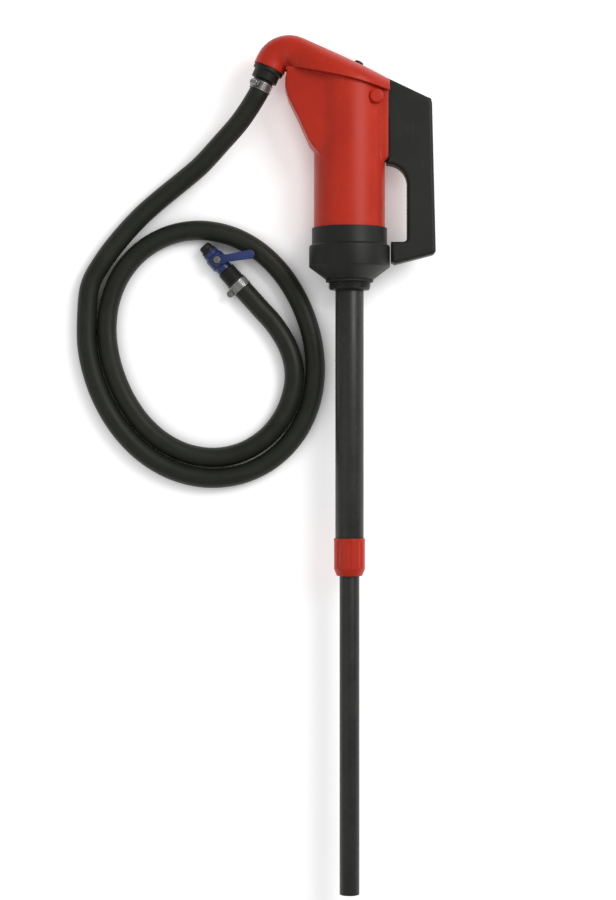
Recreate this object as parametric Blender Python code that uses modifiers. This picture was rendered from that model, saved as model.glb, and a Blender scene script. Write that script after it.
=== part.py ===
"""Lever-action hand transfer pump for drums, with its delivery hose coiled flat beside it.

The pump lies on its side. +X points to the lever, +Y along the pump towards its head, +Z up from the floor.
Each piece is drawn in the pump's own frame: x = z = 0 on the pump's axis, y = 0 at the collar's lower edge.
An empty, pump_datum, then sets that frame down with the assembly's base centre at the world's origin.
"""

import math

import bmesh
import bpy
from mathutils import Matrix, Vector

# Driving dimensions, in metres and degrees
GAP = 0.0003  # between pieces that touch
TURN_STEPS = 24
SMALL_STEPS = 12

BODY_RADIUS = 0.050
BORE_RADIUS = 0.046
CHAMBER_RADIUS = 0.0435
GLAND_LOW = 0.190
GLAND_THICKNESS = 0.010
PORT_LOW = 0.167
PORT_HEIGHT = 0.018

SEAM_HEIGHT = 0.2595  # where the seam under the hood crosses the axis
SEAM_SLOPE = math.radians(13.7)
RIDGE_HEIGHT = 0.2918  # where the hood's ridge crosses the axis
RIDGE_SLOPE = math.radians(25.4)
HOOD_WALL = 0.004
HOOD_RADIUS = BODY_RADIUS + 0.0075
HOOD_DEPTH = 0.034
HOOD_REAR = BODY_RADIUS + 0.006
HOOD_WIDTHS = (  # x, and the hood's half width there as a share of its radius
    (0.078, 0.39), (0.060, 0.60), (0.044, 0.825), (0.028, 0.965),
    (0.0146, 1.0), (-0.004, 0.974), (-0.024, 0.877), (-0.048, 0.70),
)
HOOD_SQUARENESS = 2.6  # of its cross sections: 2 is an ellipse
VENT_HOLE = 0.0045
VENT_X = 0.012
DIVIDER_X = -0.0445
DIVIDER_THICKNESS = 0.0045
LIP_X = -0.087  # where the seam turns down beside the spout's mouth
LIP_LEAN = 0.0045
LIP_DROP = 0.0188

SPOUT_RADIUS = 0.0225
SPOUT_BEND = 0.025
SPOUT_TILT = math.radians(24.0)
SPOUT_MOUTH = Vector((-0.1135, 0.281, 0.0))

GUSSET_FOOT = 0.160
GUSSET_HALF_WIDTH = 0.038
GUSSET_TIP_HALF_WIDTH = 0.024
GUSSET_WALL = 0.004

CHEEK_REACH = BODY_RADIUS + 0.004
CHEEK_LOW = 0.145
CHEEK_HALF_WIDTH = 0.026
SLOT_HALF_WIDTH = 0.018
SLOT_START = 0.026

PIVOT = Vector((BODY_RADIUS - 0.013, 0.236, 0.0))
PIVOT_RADIUS = 0.005
BOSS_RADIUS = 0.0095
PIN_HEAD_RADIUS = 0.007
BUSH_WALL = 0.0015
LEVER_SWING = math.radians(60.0)
LEVER_HALF_WIDTH = 0.016
LEVER_HUB_RADIUS = 0.021
LEVER_REACH = BODY_RADIUS + 0.071
GRIP_INNER = BODY_RADIUS + 0.031
PRONG_INNER = 0.009
PRONG_OUTER = 0.015
PRONG_HALF_WIDTH = 0.0092
PRONG_SLOT_HALF_WIDTH = 0.0052
CROSS_PIN_RADIUS = 0.004

COLLAR_RADIUS = BODY_RADIUS + 0.007
COLLAR_DRUM_HEIGHT = 0.031
COLLAR_TOP = 0.056
COLLAR_WALL = 0.0027
COLLAR_FLOOR = 0.016
CONE_HEIGHT = 0.017
CONE_FOOT_RADIUS = 0.0335
THREAD_RADIUS = 0.0298  # 2 inch pipe thread of a drum bung
THREAD_LENGTH = 0.011
GASKET_THICKNESS = 0.003
SEAL_THICKNESS = 0.003

LINER_WALL = 0.0025
LINER_TOP = 0.163
SEAT_THICKNESS = 0.0077
SEAT_PORT_RADIUS = 0.0045
SEAT_PORT_CIRCLE = 0.0165
FOOT_DISC_RADIUS = 0.024
FOOT_DISC_THICKNESS = 0.003
FOOT_DISC_LIFT = 0.004
STEM_RADIUS = 0.003

PISTON_TOP = 0.158
PISTON_THICKNESS = 0.020
PISTON_PORT_CIRCLE = 0.022
PISTON_PORT_RADIUS = 0.0045
PISTON_SEAL_WIDTH = 0.006
PISTON_SEAL_DEPTH = 0.003
PISTON_DISC_THICKNESS = 0.002
PISTON_DISC_LIFT = 0.003
ROD_RADIUS = 0.006
ROD_END_RADIUS = 0.0045
ROD_EYE_RADIUS = 0.009
ROD_EYE_HALF_WIDTH = 0.008
NUT_RADIUS = 0.009
NUT_HEIGHT = 0.006

UPPER_TUBE_RADIUS = 0.020
UPPER_TUBE_WALL = 0.0022
UPPER_TUBE_TOP = -0.008
UPPER_TUBE_END = -0.395
LOWER_TUBE_RADIUS = 0.014
LOWER_TUBE_WALL = 0.0018
LOWER_TUBE_TOP = -0.350
LOWER_TUBE_END = -0.883
COUPLER_RADIUS = 0.022
COUPLER_TOP = -0.381
COUPLER_LENGTH = 0.053
COUPLER_TAPER = 0.010
COLLET_LENGTH = 0.022

ADAPTER_RADIUS = 0.0185
ADAPTER_LENGTH = 0.018
ADAPTER_PLUG = 0.009
HOSE_RADIUS = 0.014
HOSE_STRAIGHT = 0.022
HOSE_SQUARE = 0.018  # this far the hose's ends lie square to what they meet
CLAMP_WIDTH = 0.012
CLAMP_BAND = 0.0012
CLAMP_SCREW_RADIUS = 0.0035

COIL_CENTRE = Vector((-0.2045, -0.1123))
COIL_START_RADIUS = 0.182
COIL_PITCH = 0.030  # closer in by this much after each turn
COIL_OVAL = 0.0143
COIL_OVAL_AT = math.radians(108.9)
COIL_FROM = math.radians(164.0)
COIL_TO = math.radians(696.0)
COIL_POINTS_A_TURN = 24

NOZZLE_END = Vector((-0.1627, -0.0143))  # where the hose ends at the nozzle
NOZZLE_HEADING = math.radians(132.0)
TAIL_RADIUS = 0.0135
TAIL_LENGTH = 0.020
VALVE_RADIUS = 0.0135
VALVE_LENGTH = 0.034
NOZZLE_SPOUT_LENGTH = 0.012
NOZZLE_SPOUT_RADIUS = 0.009
NOZZLE_BORE = 0.006
BALL_RADIUS = 0.0095
STEM_POST_RADIUS = 0.004
VALVE_LEVER_LENGTH = 0.054
VALVE_LEVER_HEADING = math.radians(9.8)
VALVE_LEVER_THICKNESS = 0.003
VALVE_LEVER_HALF_WIDTH = 0.0065
VALVE_LEVER_LIFT = 0.0175  # the plate's underside above the nozzle's axis

AXIS_HEIGHT = COLLAR_RADIUS
HOSE_FLOOR = HOSE_RADIUS - AXIS_HEIGHT

# The stretch of hose from the spout down to the coil, chosen by hand: x, y and height above the floor line
LEAD_ROUTE = (
    (-0.154, 0.209, 0.0335),
    (-0.1826, 0.178, 0.0230),
    (-0.211, 0.149, 0.0120),
    (-0.239, 0.1265, 0.0040),
    (-0.2675, 0.104, 0.0006),
    (-0.296, 0.079, 0.0),
    (-0.326, 0.0465, 0.0),
    (-0.3525, 0.0115, 0.0),
    (-0.3700, -0.0215, 0.0),
)
# The last bend of the hose from the coil in to the nozzle
TAIL_ROUTE = (
    (-0.0790, -0.1370, 0.0),
    (-0.0885, -0.1060, 0.0),
    (-0.1065, -0.0770, 0.0),
    (-0.1270, -0.0540, 0.0006),
)

RED = ("red_plastic", (0.50, 0.045, 0.022), 0.35, 0.0)
BLACK = ("black_plastic", (0.022, 0.022, 0.018), 0.45, 0.0)
TUBE = ("tube_plastic", (0.030, 0.030, 0.026), 0.40, 0.0)
RUBBER = ("hose_rubber", (0.020, 0.022, 0.016), 0.65, 0.0)
SEAL = ("seal_rubber", (0.015, 0.015, 0.015), 0.75, 0.0)
STEEL = ("zinc_steel", (0.50, 0.51, 0.50), 0.35, 1.0)
STAINLESS = ("stainless_steel", (0.62, 0.62, 0.60), 0.25, 1.0)
BRASS = ("brass", (0.60, 0.42, 0.14), 0.35, 1.0)
NYLON = ("white_nylon", (0.75, 0.74, 0.70), 0.50, 0.0)
BLUE = ("blue_plastic", (0.020, 0.045, 0.20), 0.40, 0.0)


# The bosses for the pivot pin stand just proud of the round body beside the pin's head
BOSS_REACH = math.sqrt(BODY_RADIUS**2 - (PIVOT.x - PIN_HEAD_RADIUS - 0.001) ** 2) + 0.0005


def clear_scene():
    for obj in list(bpy.data.objects):
        bpy.data.objects.remove(obj, do_unlink=True)


clear_scene()
PARTS = bpy.data.collections.new("hand_transfer_pump")
CUTTERS = bpy.data.collections.new("cutters")
for collection in (PARTS, CUTTERS):
    bpy.context.scene.collection.children.link(collection)
DATUM = bpy.data.objects.new("pump_datum", None)
PARTS.objects.link(DATUM)


# Helpers
def material(finish):
    name, colour, roughness, metallic = finish
    if name in bpy.data.materials:
        return bpy.data.materials[name]
    made = bpy.data.materials.new(name)
    made.use_nodes = True
    shader = made.node_tree.nodes["Principled BSDF"]
    shader.inputs["Base Color"].default_value = (*colour, 1.0)
    shader.inputs["Roughness"].default_value = roughness
    shader.inputs["Metallic"].default_value = metallic
    return made


def add(name, data, finish=None):
    """A part with a finish, or a cutter without one, in the pump's frame."""
    obj = bpy.data.objects.new(name, data)
    (PARTS if finish else CUTTERS).objects.link(obj)
    obj.parent = DATUM
    if finish:
        data.materials.append(material(finish))
    else:
        obj.hide_render = True
        obj.display_type = "WIRE"
    return obj


def smooth(mesh, angle=35.0):
    mesh.shade_smooth()
    mesh.set_sharp_from_angle(angle=math.radians(angle))


def mesh_from(name, shape):
    bmesh.ops.recalc_face_normals(shape, faces=shape.faces)
    mesh = bpy.data.meshes.new(name)
    shape.to_mesh(mesh)
    shape.free()
    smooth(mesh)
    return mesh


def frame_at(origin, along):
    """A frame at origin with its Z along the given direction."""
    return Matrix.Translation(origin) @ Vector(along).to_track_quat("Z", "Y").to_matrix().to_4x4()


PUMP_AXIS = frame_at((0, 0, 0), (0, 1, 0))


def turned(name, profile, finish=None, frame=PUMP_AXIS, steps=TURN_STEPS):
    """A profile of (radius, height), down its outer side, turned about the frame's Z. A ring's profile closes."""
    shape = bmesh.new()
    points = [shape.verts.new((radius, 0, height)) for radius, height in profile]
    for a, b in zip(points, points[1:]):
        shape.edges.new((a, b))
    if profile[0][0] > 0:
        shape.edges.new((points[-1], points[0]))
    mesh = bpy.data.meshes.new(name)
    shape.to_mesh(mesh)
    shape.free()
    obj = add(name, mesh, finish)
    obj.matrix_local = frame
    screw = obj.modifiers.new("turn", "SCREW")
    screw.steps = screw.render_steps = steps
    screw.use_merge_vertices = True
    screw.merge_threshold = 1e-5
    return obj


def ring(name, inner, outer, low, high, finish=None, frame=PUMP_AXIS, steps=TURN_STEPS):
    return turned(name, [(outer, high), (outer, low), (inner, low), (inner, high)], finish, frame, steps)


def disc(name, radius, low, high, finish=None, frame=PUMP_AXIS, steps=TURN_STEPS):
    return turned(name, [(0, high), (radius, high), (radius, low), (0, low)], finish, frame, steps)


def hex_nut(name, hole, radius, low, high, finish, frame=PUMP_AXIS):
    nut = disc(name, radius, low, high, finish, frame, 6)
    boolean(nut, disc(name + "_hole", hole, low - 0.002, high + 0.002, None, frame, SMALL_STEPS))


def cross_disc(name, radius, half_width, at, finish=None, steps=SMALL_STEPS):
    """A pin, boss or hole cutter across the pump, along Z."""
    return disc(name, radius, -half_width, half_width, finish, frame_at(at, (0, 0, 1)), steps)


def slab(name, outline, low, high, finish=None):
    """A flat outline between two heights, as a closed mesh."""
    curve = bpy.data.curves.new(name, "CURVE")
    curve.dimensions = "2D"
    curve.fill_mode = "BOTH"
    curve.extrude = (high - low) / 2
    line = curve.splines.new("POLY")
    line.points.add(len(outline) - 1)
    for point, (x, y) in zip(line.points, outline):
        point.co = (x, y, 0, 1)
    line.use_cyclic_u = True
    draft = bpy.data.objects.new(name + "_outline", curve)
    bpy.context.scene.collection.objects.link(draft)
    graph = bpy.context.evaluated_depsgraph_get()
    mesh = bpy.data.meshes.new_from_object(draft.evaluated_get(graph))
    bpy.data.objects.remove(draft)
    shape = bmesh.new()
    shape.from_mesh(mesh)
    bmesh.ops.remove_doubles(shape, verts=shape.verts, dist=1e-6)
    bmesh.ops.translate(shape, verts=shape.verts, vec=(0, 0, (low + high) / 2))
    bmesh.ops.recalc_face_normals(shape, faces=shape.faces)
    shape.to_mesh(mesh)
    shape.free()
    smooth(mesh)
    return add(name, mesh, finish)


def arc(centre, radius, start, end, steps=6):
    """Points along an arc, from one angle in degrees to another."""
    angles = [math.radians(start + (end - start) * i / steps) for i in range(steps + 1)]
    return [(centre[0] + radius * math.cos(a), centre[1] + radius * math.sin(a)) for a in angles]


def boolean(obj, other, operation="DIFFERENCE"):
    cut = obj.modifiers.new(operation.lower(), "BOOLEAN")
    cut.operation = operation
    cut.object = other
    return obj


def bevel(obj, width, segments=2, angle=50.0):
    edge = obj.modifiers.new("round_edges", "BEVEL")
    edge.width = width
    edge.segments = segments
    edge.limit_method = "ANGLE"
    edge.angle_limit = math.radians(angle)


def put_origin(obj, point):
    """Moves the object's origin onto its joint, and leaves its shape where it is."""
    obj.data.transform(Matrix.Translation(-Vector(point)))
    obj.location = point


def seam_at(x, above=0.0):
    return SEAM_HEIGHT - x * math.tan(SEAM_SLOPE) + above / math.cos(SEAM_SLOPE)


def ridge_at(x):
    return RIDGE_HEIGHT - x * math.tan(RIDGE_SLOPE)


# The hood over the head, and the spout
def hood_stations():
    """(centre, heading, half depth, half width, roundness) from behind the lever slot to the spout's mouth."""
    up = Vector((math.sin(RIDGE_SLOPE), math.cos(RIDGE_SLOPE), 0))
    along = Vector((-math.cos(RIDGE_SLOPE), math.sin(RIDGE_SLOPE), 0))
    out = Vector((-math.sin(SPOUT_TILT), -math.cos(SPOUT_TILT), 0))
    heading = math.atan2(along.y, along.x)
    turn = math.atan2(out.y, out.x) % math.tau - heading
    depth_at_bend = SPOUT_RADIUS + 0.0015
    # Where the ridge's centreline meets the mouth's axis
    start = Vector((0, RIDGE_HEIGHT, 0)) - up * depth_at_bend
    step = start - SPOUT_MOUTH
    run = (step.x * out.y - step.y * out.x) / (along.y * out.x - along.x * out.y)
    corner = start + along * run
    tangent = SPOUT_BEND * math.tan(turn / 2)
    bend_start = corner - along * tangent
    bend_centre = bend_start + SPOUT_BEND * Vector((-along.y, along.x, 0))
    rows = []
    for x, share in HOOD_WIDTHS:
        fade = min(1.0, max(0.0, -x / 0.068))
        depth = HOOD_DEPTH + (depth_at_bend - HOOD_DEPTH) * fade * fade
        rows.append((Vector((x, ridge_at(x), 0)) - up * depth, heading, depth, HOOD_RADIUS * share, HOOD_SQUARENESS))
    for i in range(6):
        t = i / 5
        angle = heading + turn * t
        centre = bend_centre + SPOUT_BEND * Vector((math.sin(angle), -math.cos(angle), 0))
        depth = depth_at_bend + (SPOUT_RADIUS - depth_at_bend) * t
        width = 0.030 + (SPOUT_RADIUS - 0.030) * math.sin(t * math.pi / 2)
        rows.append((centre, angle, depth, width, HOOD_SQUARENESS + (2.0 - HOOD_SQUARENESS) * t))
    rows.append((SPOUT_MOUTH, heading + turn, SPOUT_RADIUS, SPOUT_RADIUS, 2.0))
    return rows


def hood_loft(name, shrink, overrun=0.0, finish=None, count=24):
    """The hood's rounded outside, or a shape that far inside it, lofted through its stations."""
    shape = bmesh.new()
    rings = []
    stations = hood_stations()
    if overrun:
        centre, heading, *rest = stations[-1]
        stations.append((centre + overrun * Vector((math.cos(heading), math.sin(heading), 0)), heading, *rest))
    for centre, heading, depth, width, power in stations:
        up = Vector((math.sin(heading), -math.cos(heading), 0))
        row = []
        for i in range(count):
            a = math.tau * i / count
            across = math.copysign(abs(math.cos(a)) ** (2 / power), math.cos(a)) * (width - shrink)
            rise = math.copysign(abs(math.sin(a)) ** (2 / power), math.sin(a)) * (depth - shrink)
            row.append(shape.verts.new(centre + up * rise + Vector((0, 0, across))))
        rings.append(row)
    for low, high in zip(rings, rings[1:]):
        for i in range(count):
            j = (i + 1) % count
            shape.faces.new((low[i], low[j], high[j], high[i]))
    shape.faces.new(rings[0])
    shape.faces.new(rings[-1])
    return add(name, mesh_from(name, shape), finish)


def rear_cut(name, x):
    return slab(name, [(x, 0.15), (x + 0.1, 0.15), (x + 0.1, 0.35), (x, 0.35)], -0.08, 0.08)


def head_cover():
    cover = hood_loft("head_cover", 0.0, finish=RED)
    boolean(cover, rear_cut("hood_rear_cut", HOOD_REAR))
    inside = hood_loft("hood_inside", HOOD_WALL, overrun=0.004)
    boolean(inside, rear_cut("hood_inside_rear_cut", HOOD_REAR - HOOD_WALL))
    boolean(cover, inside)
    divider = slab(
        "hood_divider",
        [
            (DIVIDER_X - DIVIDER_THICKNESS, 0.2), (DIVIDER_X, 0.2),
            (DIVIDER_X, 0.34), (DIVIDER_X - DIVIDER_THICKNESS, 0.34),
        ],
        -0.08,
        0.08,
    )
    boolean(divider, hood_loft("hood_middle", HOOD_WALL / 2), "INTERSECT")
    boolean(cover, divider, "UNION")
    lip_foot = LIP_X - LIP_LEAN
    below = [
        (LIP_X, seam_at(LIP_X, GAP)), (lip_foot, seam_at(LIP_X) - LIP_DROP), (lip_foot, 0.12), (0.14, 0.12),
        (0.14, seam_at(0.14, GAP)),
    ]
    boolean(cover, slab("hood_seam_cut", below, -0.09, 0.09))
    slot = [(SLOT_START, 0.19), (0.09, 0.19), (0.09, 0.34), (SLOT_START, 0.34)]
    boolean(cover, slab("hood_lever_slot", slot, -SLOT_HALF_WIDTH, SLOT_HALF_WIDTH))
    boolean(cover, disc("vent_hole", VENT_HOLE, -0.02, 0.02, None, VENT_FRAME, SMALL_STEPS))


VENT_FRAME = frame_at((VENT_X, ridge_at(VENT_X), 0), (math.sin(RIDGE_SLOPE), math.cos(RIDGE_SLOPE), 0))


def vent_plug():
    stem = VENT_HOLE - GAP
    profile = [
        (0, 0.0055), (0.005, 0.0055), (0.0065, 0.004), (0.0065, GAP), (stem, GAP), (stem, -0.007), (0, -0.007),
    ]
    turned("vent_plug", profile, BLACK, VENT_FRAME, SMALL_STEPS)


MOUTH_FRAME = frame_at(SPOUT_MOUTH, (-math.sin(SPOUT_TILT), -math.cos(SPOUT_TILT), 0))


def spout_adapter():
    plug = SPOUT_RADIUS - HOOD_WALL - GAP
    hole = 0.0095
    low = -ADAPTER_PLUG
    profile = [
        (ADAPTER_RADIUS - 0.002, ADAPTER_LENGTH), (ADAPTER_RADIUS, ADAPTER_LENGTH - 0.002),
        (ADAPTER_RADIUS, 0.006), (SPOUT_RADIUS - 0.001, 0.006), (SPOUT_RADIUS - 0.001, GAP),
        (plug - 0.003, GAP), (plug - 0.003, low / 2), (plug, low / 2), (plug, low),
        (hole, low), (hole, ADAPTER_LENGTH),
    ]
    turned("spout_adapter", profile, BLACK, MOUTH_FRAME)
    ring("spout_seal", plug - 0.003 + GAP, plug, low / 2 + GAP, -GAP, SEAL, MOUTH_FRAME)


# The body
def gusset(name, wall):
    """The web between the body and the spout, narrower towards its tip; wall draws the duct inside it."""
    edge = [(-0.0905, 0.252), (-0.086, 0.237), (-0.072, 0.209), (-0.059, 0.180), (-0.050, GUSSET_FOOT)]
    if wall:
        edge = [(x + wall * 1.1, y) for x, y in edge[:-1]] + [(-0.049, PORT_LOW)]
        tip = [(edge[0][0] + 0.001, 0.32)]
        root = [(-BORE_RADIUS + 0.012, PORT_LOW), (-BORE_RADIUS + 0.012, PORT_LOW + PORT_HEIGHT)]
        root += [(DIVIDER_X - DIVIDER_THICKNESS, PORT_LOW + PORT_HEIGHT), (DIVIDER_X - DIVIDER_THICKNESS, 0.32)]
    else:
        tip = [(-0.0895, 0.32)]
        root = [(-0.030, GUSSET_FOOT), (-0.030, 0.32)]
    half = GUSSET_HALF_WIDTH - wall
    web = slab(name, tip + edge + root, -half, half)
    tip_half = GUSSET_TIP_HALF_WIDTH - wall
    for vertex in web.data.vertices:
        t = min(1.0, max(0.0, (-0.032 - vertex.co.x) / 0.058))
        vertex.co.z *= (half + (tip_half - half) * t) / half
    return web


def pump_body():
    low = COLLAR_FLOOR + SEAL_THICKNESS + 2 * GAP
    chamber_low = GLAND_LOW + GLAND_THICKNESS + GAP
    body = disc("pump_body", BODY_RADIUS, low, 0.285, RED)
    boolean(body, gusset("gusset_web", 0.0), "UNION")
    cheek_top = 0.285  # above the seam, which cuts it
    cheeks = [(0.020, CHEEK_LOW), (CHEEK_REACH, CHEEK_LOW), (CHEEK_REACH, cheek_top), (0.020, cheek_top)]
    boolean(body, slab("cheek_block", cheeks, -CHEEK_HALF_WIDTH, CHEEK_HALF_WIDTH), "UNION")
    boolean(body, cross_disc("pivot_boss", BOSS_RADIUS, BOSS_REACH, PIVOT), "UNION")
    bore = [
        (0, 0.31), (CHAMBER_RADIUS, 0.31), (CHAMBER_RADIUS, chamber_low), (BORE_RADIUS, chamber_low),
        (BORE_RADIUS, low - 0.01), (0, low - 0.01),
    ]
    boolean(body, turned("body_bore", bore))
    boolean(body, gusset("gusset_duct", GUSSET_WALL))
    lip, drop = LIP_X + 2 * GAP, seam_at(LIP_X) - LIP_DROP
    above = [
        (-0.16, drop), (lip - LIP_LEAN, drop), (lip, seam_at(lip)), (0.12, seam_at(0.12)), (0.12, 0.36),
        (-0.16, 0.36),
    ]
    boolean(body, slab("body_seam_cut", above, -0.09, 0.09))
    sill = chamber_low + 0.006
    groove = BODY_RADIUS + 0.0006
    window = [
        (SLOT_START, sill), (groove, sill), (groove, CHEEK_LOW - 0.01), (0.09, CHEEK_LOW - 0.01), (0.09, 0.33),
        (SLOT_START, 0.33),
    ]
    boolean(body, slab("body_lever_slot", window, -SLOT_HALF_WIDTH, SLOT_HALF_WIDTH))
    boolean(body, cross_disc("pivot_hole", PIVOT_RADIUS + GAP, 0.06, PIVOT))


# The base, its drum thread and the foot valve
def base():
    cup = BODY_RADIUS + GAP
    shoulder = cup + COLLAR_WALL
    passage = UPPER_TUBE_RADIUS - UPPER_TUBE_WALL
    socket = UPPER_TUBE_RADIUS + GAP
    seat_room = 0.0225
    land = THREAD_RADIUS - 0.0015
    foot = -CONE_HEIGHT - GASKET_THICKNESS - THREAD_LENGTH
    profile = [
        (shoulder, COLLAR_TOP), (shoulder, COLLAR_DRUM_HEIGHT + 0.001), (COLLAR_RADIUS - 0.001, COLLAR_DRUM_HEIGHT),
        (COLLAR_RADIUS, COLLAR_DRUM_HEIGHT - 0.001), (COLLAR_RADIUS, 0.001), (COLLAR_RADIUS - 0.001, 0),
        (CONE_FOOT_RADIUS + 0.001, -CONE_HEIGHT + 0.001), (CONE_FOOT_RADIUS, -CONE_HEIGHT), (land, -CONE_HEIGHT),
    ]
    pitch = 0.0023  # 11 threads to the inch
    turns = int((THREAD_LENGTH - 0.002) / pitch)
    start = -CONE_HEIGHT - GASKET_THICKNESS - 0.001
    for i in range(turns):
        top = start - i * pitch
        profile += [(land, top), (THREAD_RADIUS, top - pitch * 0.4), (THREAD_RADIUS, top - pitch * 0.6)]
    profile += [(land, foot + 0.001), (land - 0.001, foot)]
    profile += [(socket, foot), (socket, UPPER_TUBE_TOP + GAP), (passage, UPPER_TUBE_TOP + GAP), (passage, 0.004)]
    profile += [(seat_room, 0.010), (seat_room, COLLAR_FLOOR), (cup, COLLAR_FLOOR), (cup, COLLAR_TOP)]
    turned("base_collar", profile, BLACK)
    gasket_low = -CONE_HEIGHT - GASKET_THICKNESS
    ring("bung_gasket", THREAD_RADIUS + GAP, CONE_FOOT_RADIUS, gasket_low, -CONE_HEIGHT - GAP, SEAL)
    seal_low = COLLAR_FLOOR + GAP
    ring("body_seal", BORE_RADIUS + GAP, BODY_RADIUS, seal_low, seal_low + SEAL_THICKNESS, SEAL)


def port_ring(obj, name, radius, circle, low, high, count=6):
    for i in range(count):
        a = math.tau * i / count
        at = (circle * math.cos(a), 0, circle * math.sin(a))
        boolean(obj, disc(f"{name}_{i}", radius, low, high, None, frame_at(at, (0, 1, 0)), 8))


def foot_valve():
    low = COLLAR_FLOOR + GAP
    top = low + SEAT_THICKNESS
    stem_hole = STEM_RADIUS + GAP
    seat = ring("foot_valve_seat", stem_hole, BORE_RADIUS - GAP, low, top, NYLON)
    port_ring(seat, "seat_port", SEAT_PORT_RADIUS, SEAT_PORT_CIRCLE, low - 0.002, top + 0.002)
    disc_low = top + GAP
    disc_top = disc_low + FOOT_DISC_THICKNESS
    ring("foot_valve_disc", STEM_RADIUS + 2 * GAP, FOOT_DISC_RADIUS, disc_low, disc_top, SEAL)
    head_low = disc_top + FOOT_DISC_LIFT + GAP
    head = 2 * STEM_RADIUS
    foot = low - GAP
    stem = [
        (0, head_low + 0.003), (head, head_low + 0.003), (head, head_low), (STEM_RADIUS, head_low),
        (STEM_RADIUS, foot), (head, foot), (head, foot - 0.003), (0, foot - 0.003),
    ]
    turned("foot_valve_stem", stem, STAINLESS, steps=SMALL_STEPS)
    ring("cylinder_liner", BORE_RADIUS - GAP - LINER_WALL, BORE_RADIUS - GAP, top + GAP, LINER_TOP, STAINLESS)


# The piston and its rod
def cross_pin_height():
    """Height of the rod's cross pin at rest: the prongs point up from the pivot by half the lever's swing."""
    return PIVOT.y + PIVOT.x * math.tan(LEVER_SWING / 2)


def piston():
    radius = BORE_RADIUS - GAP - LINER_WALL - 2 * GAP
    low = PISTON_TOP - PISTON_THICKNESS
    middle = PISTON_TOP - PISTON_THICKNESS / 2
    groove = radius - PISTON_SEAL_DEPTH
    half = PISTON_SEAL_WIDTH / 2
    hole = ROD_END_RADIUS + GAP
    profile = [
        (radius, PISTON_TOP), (radius, middle + half), (groove, middle + half), (groove, middle - half),
        (radius, middle - half), (radius, low), (hole, low), (hole, PISTON_TOP),
    ]
    head = turned("piston", profile, NYLON)
    port_ring(head, "piston_port", PISTON_PORT_RADIUS, PISTON_PORT_CIRCLE, low - 0.002, PISTON_TOP + 0.002)
    ring("piston_seal", groove + GAP, radius + GAP, middle - half + GAP, middle + half - GAP, SEAL)
    disc_low = PISTON_TOP + GAP
    disc_top = disc_low + PISTON_DISC_THICKNESS
    cover = PISTON_PORT_CIRCLE + PISTON_PORT_RADIUS + 0.004
    ring("piston_valve_disc", ROD_RADIUS + GAP, cover, disc_low, disc_top, SEAL)
    eye = cross_pin_height()
    stop = disc_top + PISTON_DISC_LIFT + GAP
    nut_top = low - GAP
    profile = [
        (0, eye), (ROD_RADIUS, eye), (ROD_RADIUS, stop + 0.003), (0.011, stop + 0.003), (0.011, stop),
        (ROD_RADIUS, stop), (ROD_RADIUS, PISTON_TOP + GAP), (ROD_END_RADIUS, PISTON_TOP + GAP),
        (ROD_END_RADIUS, nut_top - NUT_HEIGHT - 0.002), (0, nut_top - NUT_HEIGHT - 0.002),
    ]
    rod = turned("piston_rod", profile, STAINLESS, steps=SMALL_STEPS)
    at = Vector((0, eye, 0))
    boolean(rod, cross_disc("rod_eye", ROD_EYE_RADIUS, ROD_EYE_HALF_WIDTH, at), "UNION")
    boolean(rod, cross_disc("rod_eye_hole", CROSS_PIN_RADIUS + GAP, 0.02, at))
    hex_nut("piston_nut", ROD_END_RADIUS + GAP, NUT_RADIUS, nut_top - NUT_HEIGHT, nut_top, STEEL)
    cross_disc("rod_cross_pin", CROSS_PIN_RADIUS, PRONG_OUTER + 0.002, at, STAINLESS)


def gland():
    top = GLAND_LOW + GLAND_THICKNESS
    seal_radius = ROD_RADIUS + 0.003
    hole = ROD_RADIUS + GAP
    pocket = GLAND_LOW + 0.004
    profile = [
        (BORE_RADIUS - GAP, top), (BORE_RADIUS - GAP, GLAND_LOW), (seal_radius + GAP, GLAND_LOW),
        (seal_radius + GAP, pocket), (hole, pocket), (hole, top),
    ]
    turned("rod_guide", profile, BRASS)
    ring("rod_seal", hole, seal_radius, GLAND_LOW, pocket - GAP, SEAL, steps=SMALL_STEPS)


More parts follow.
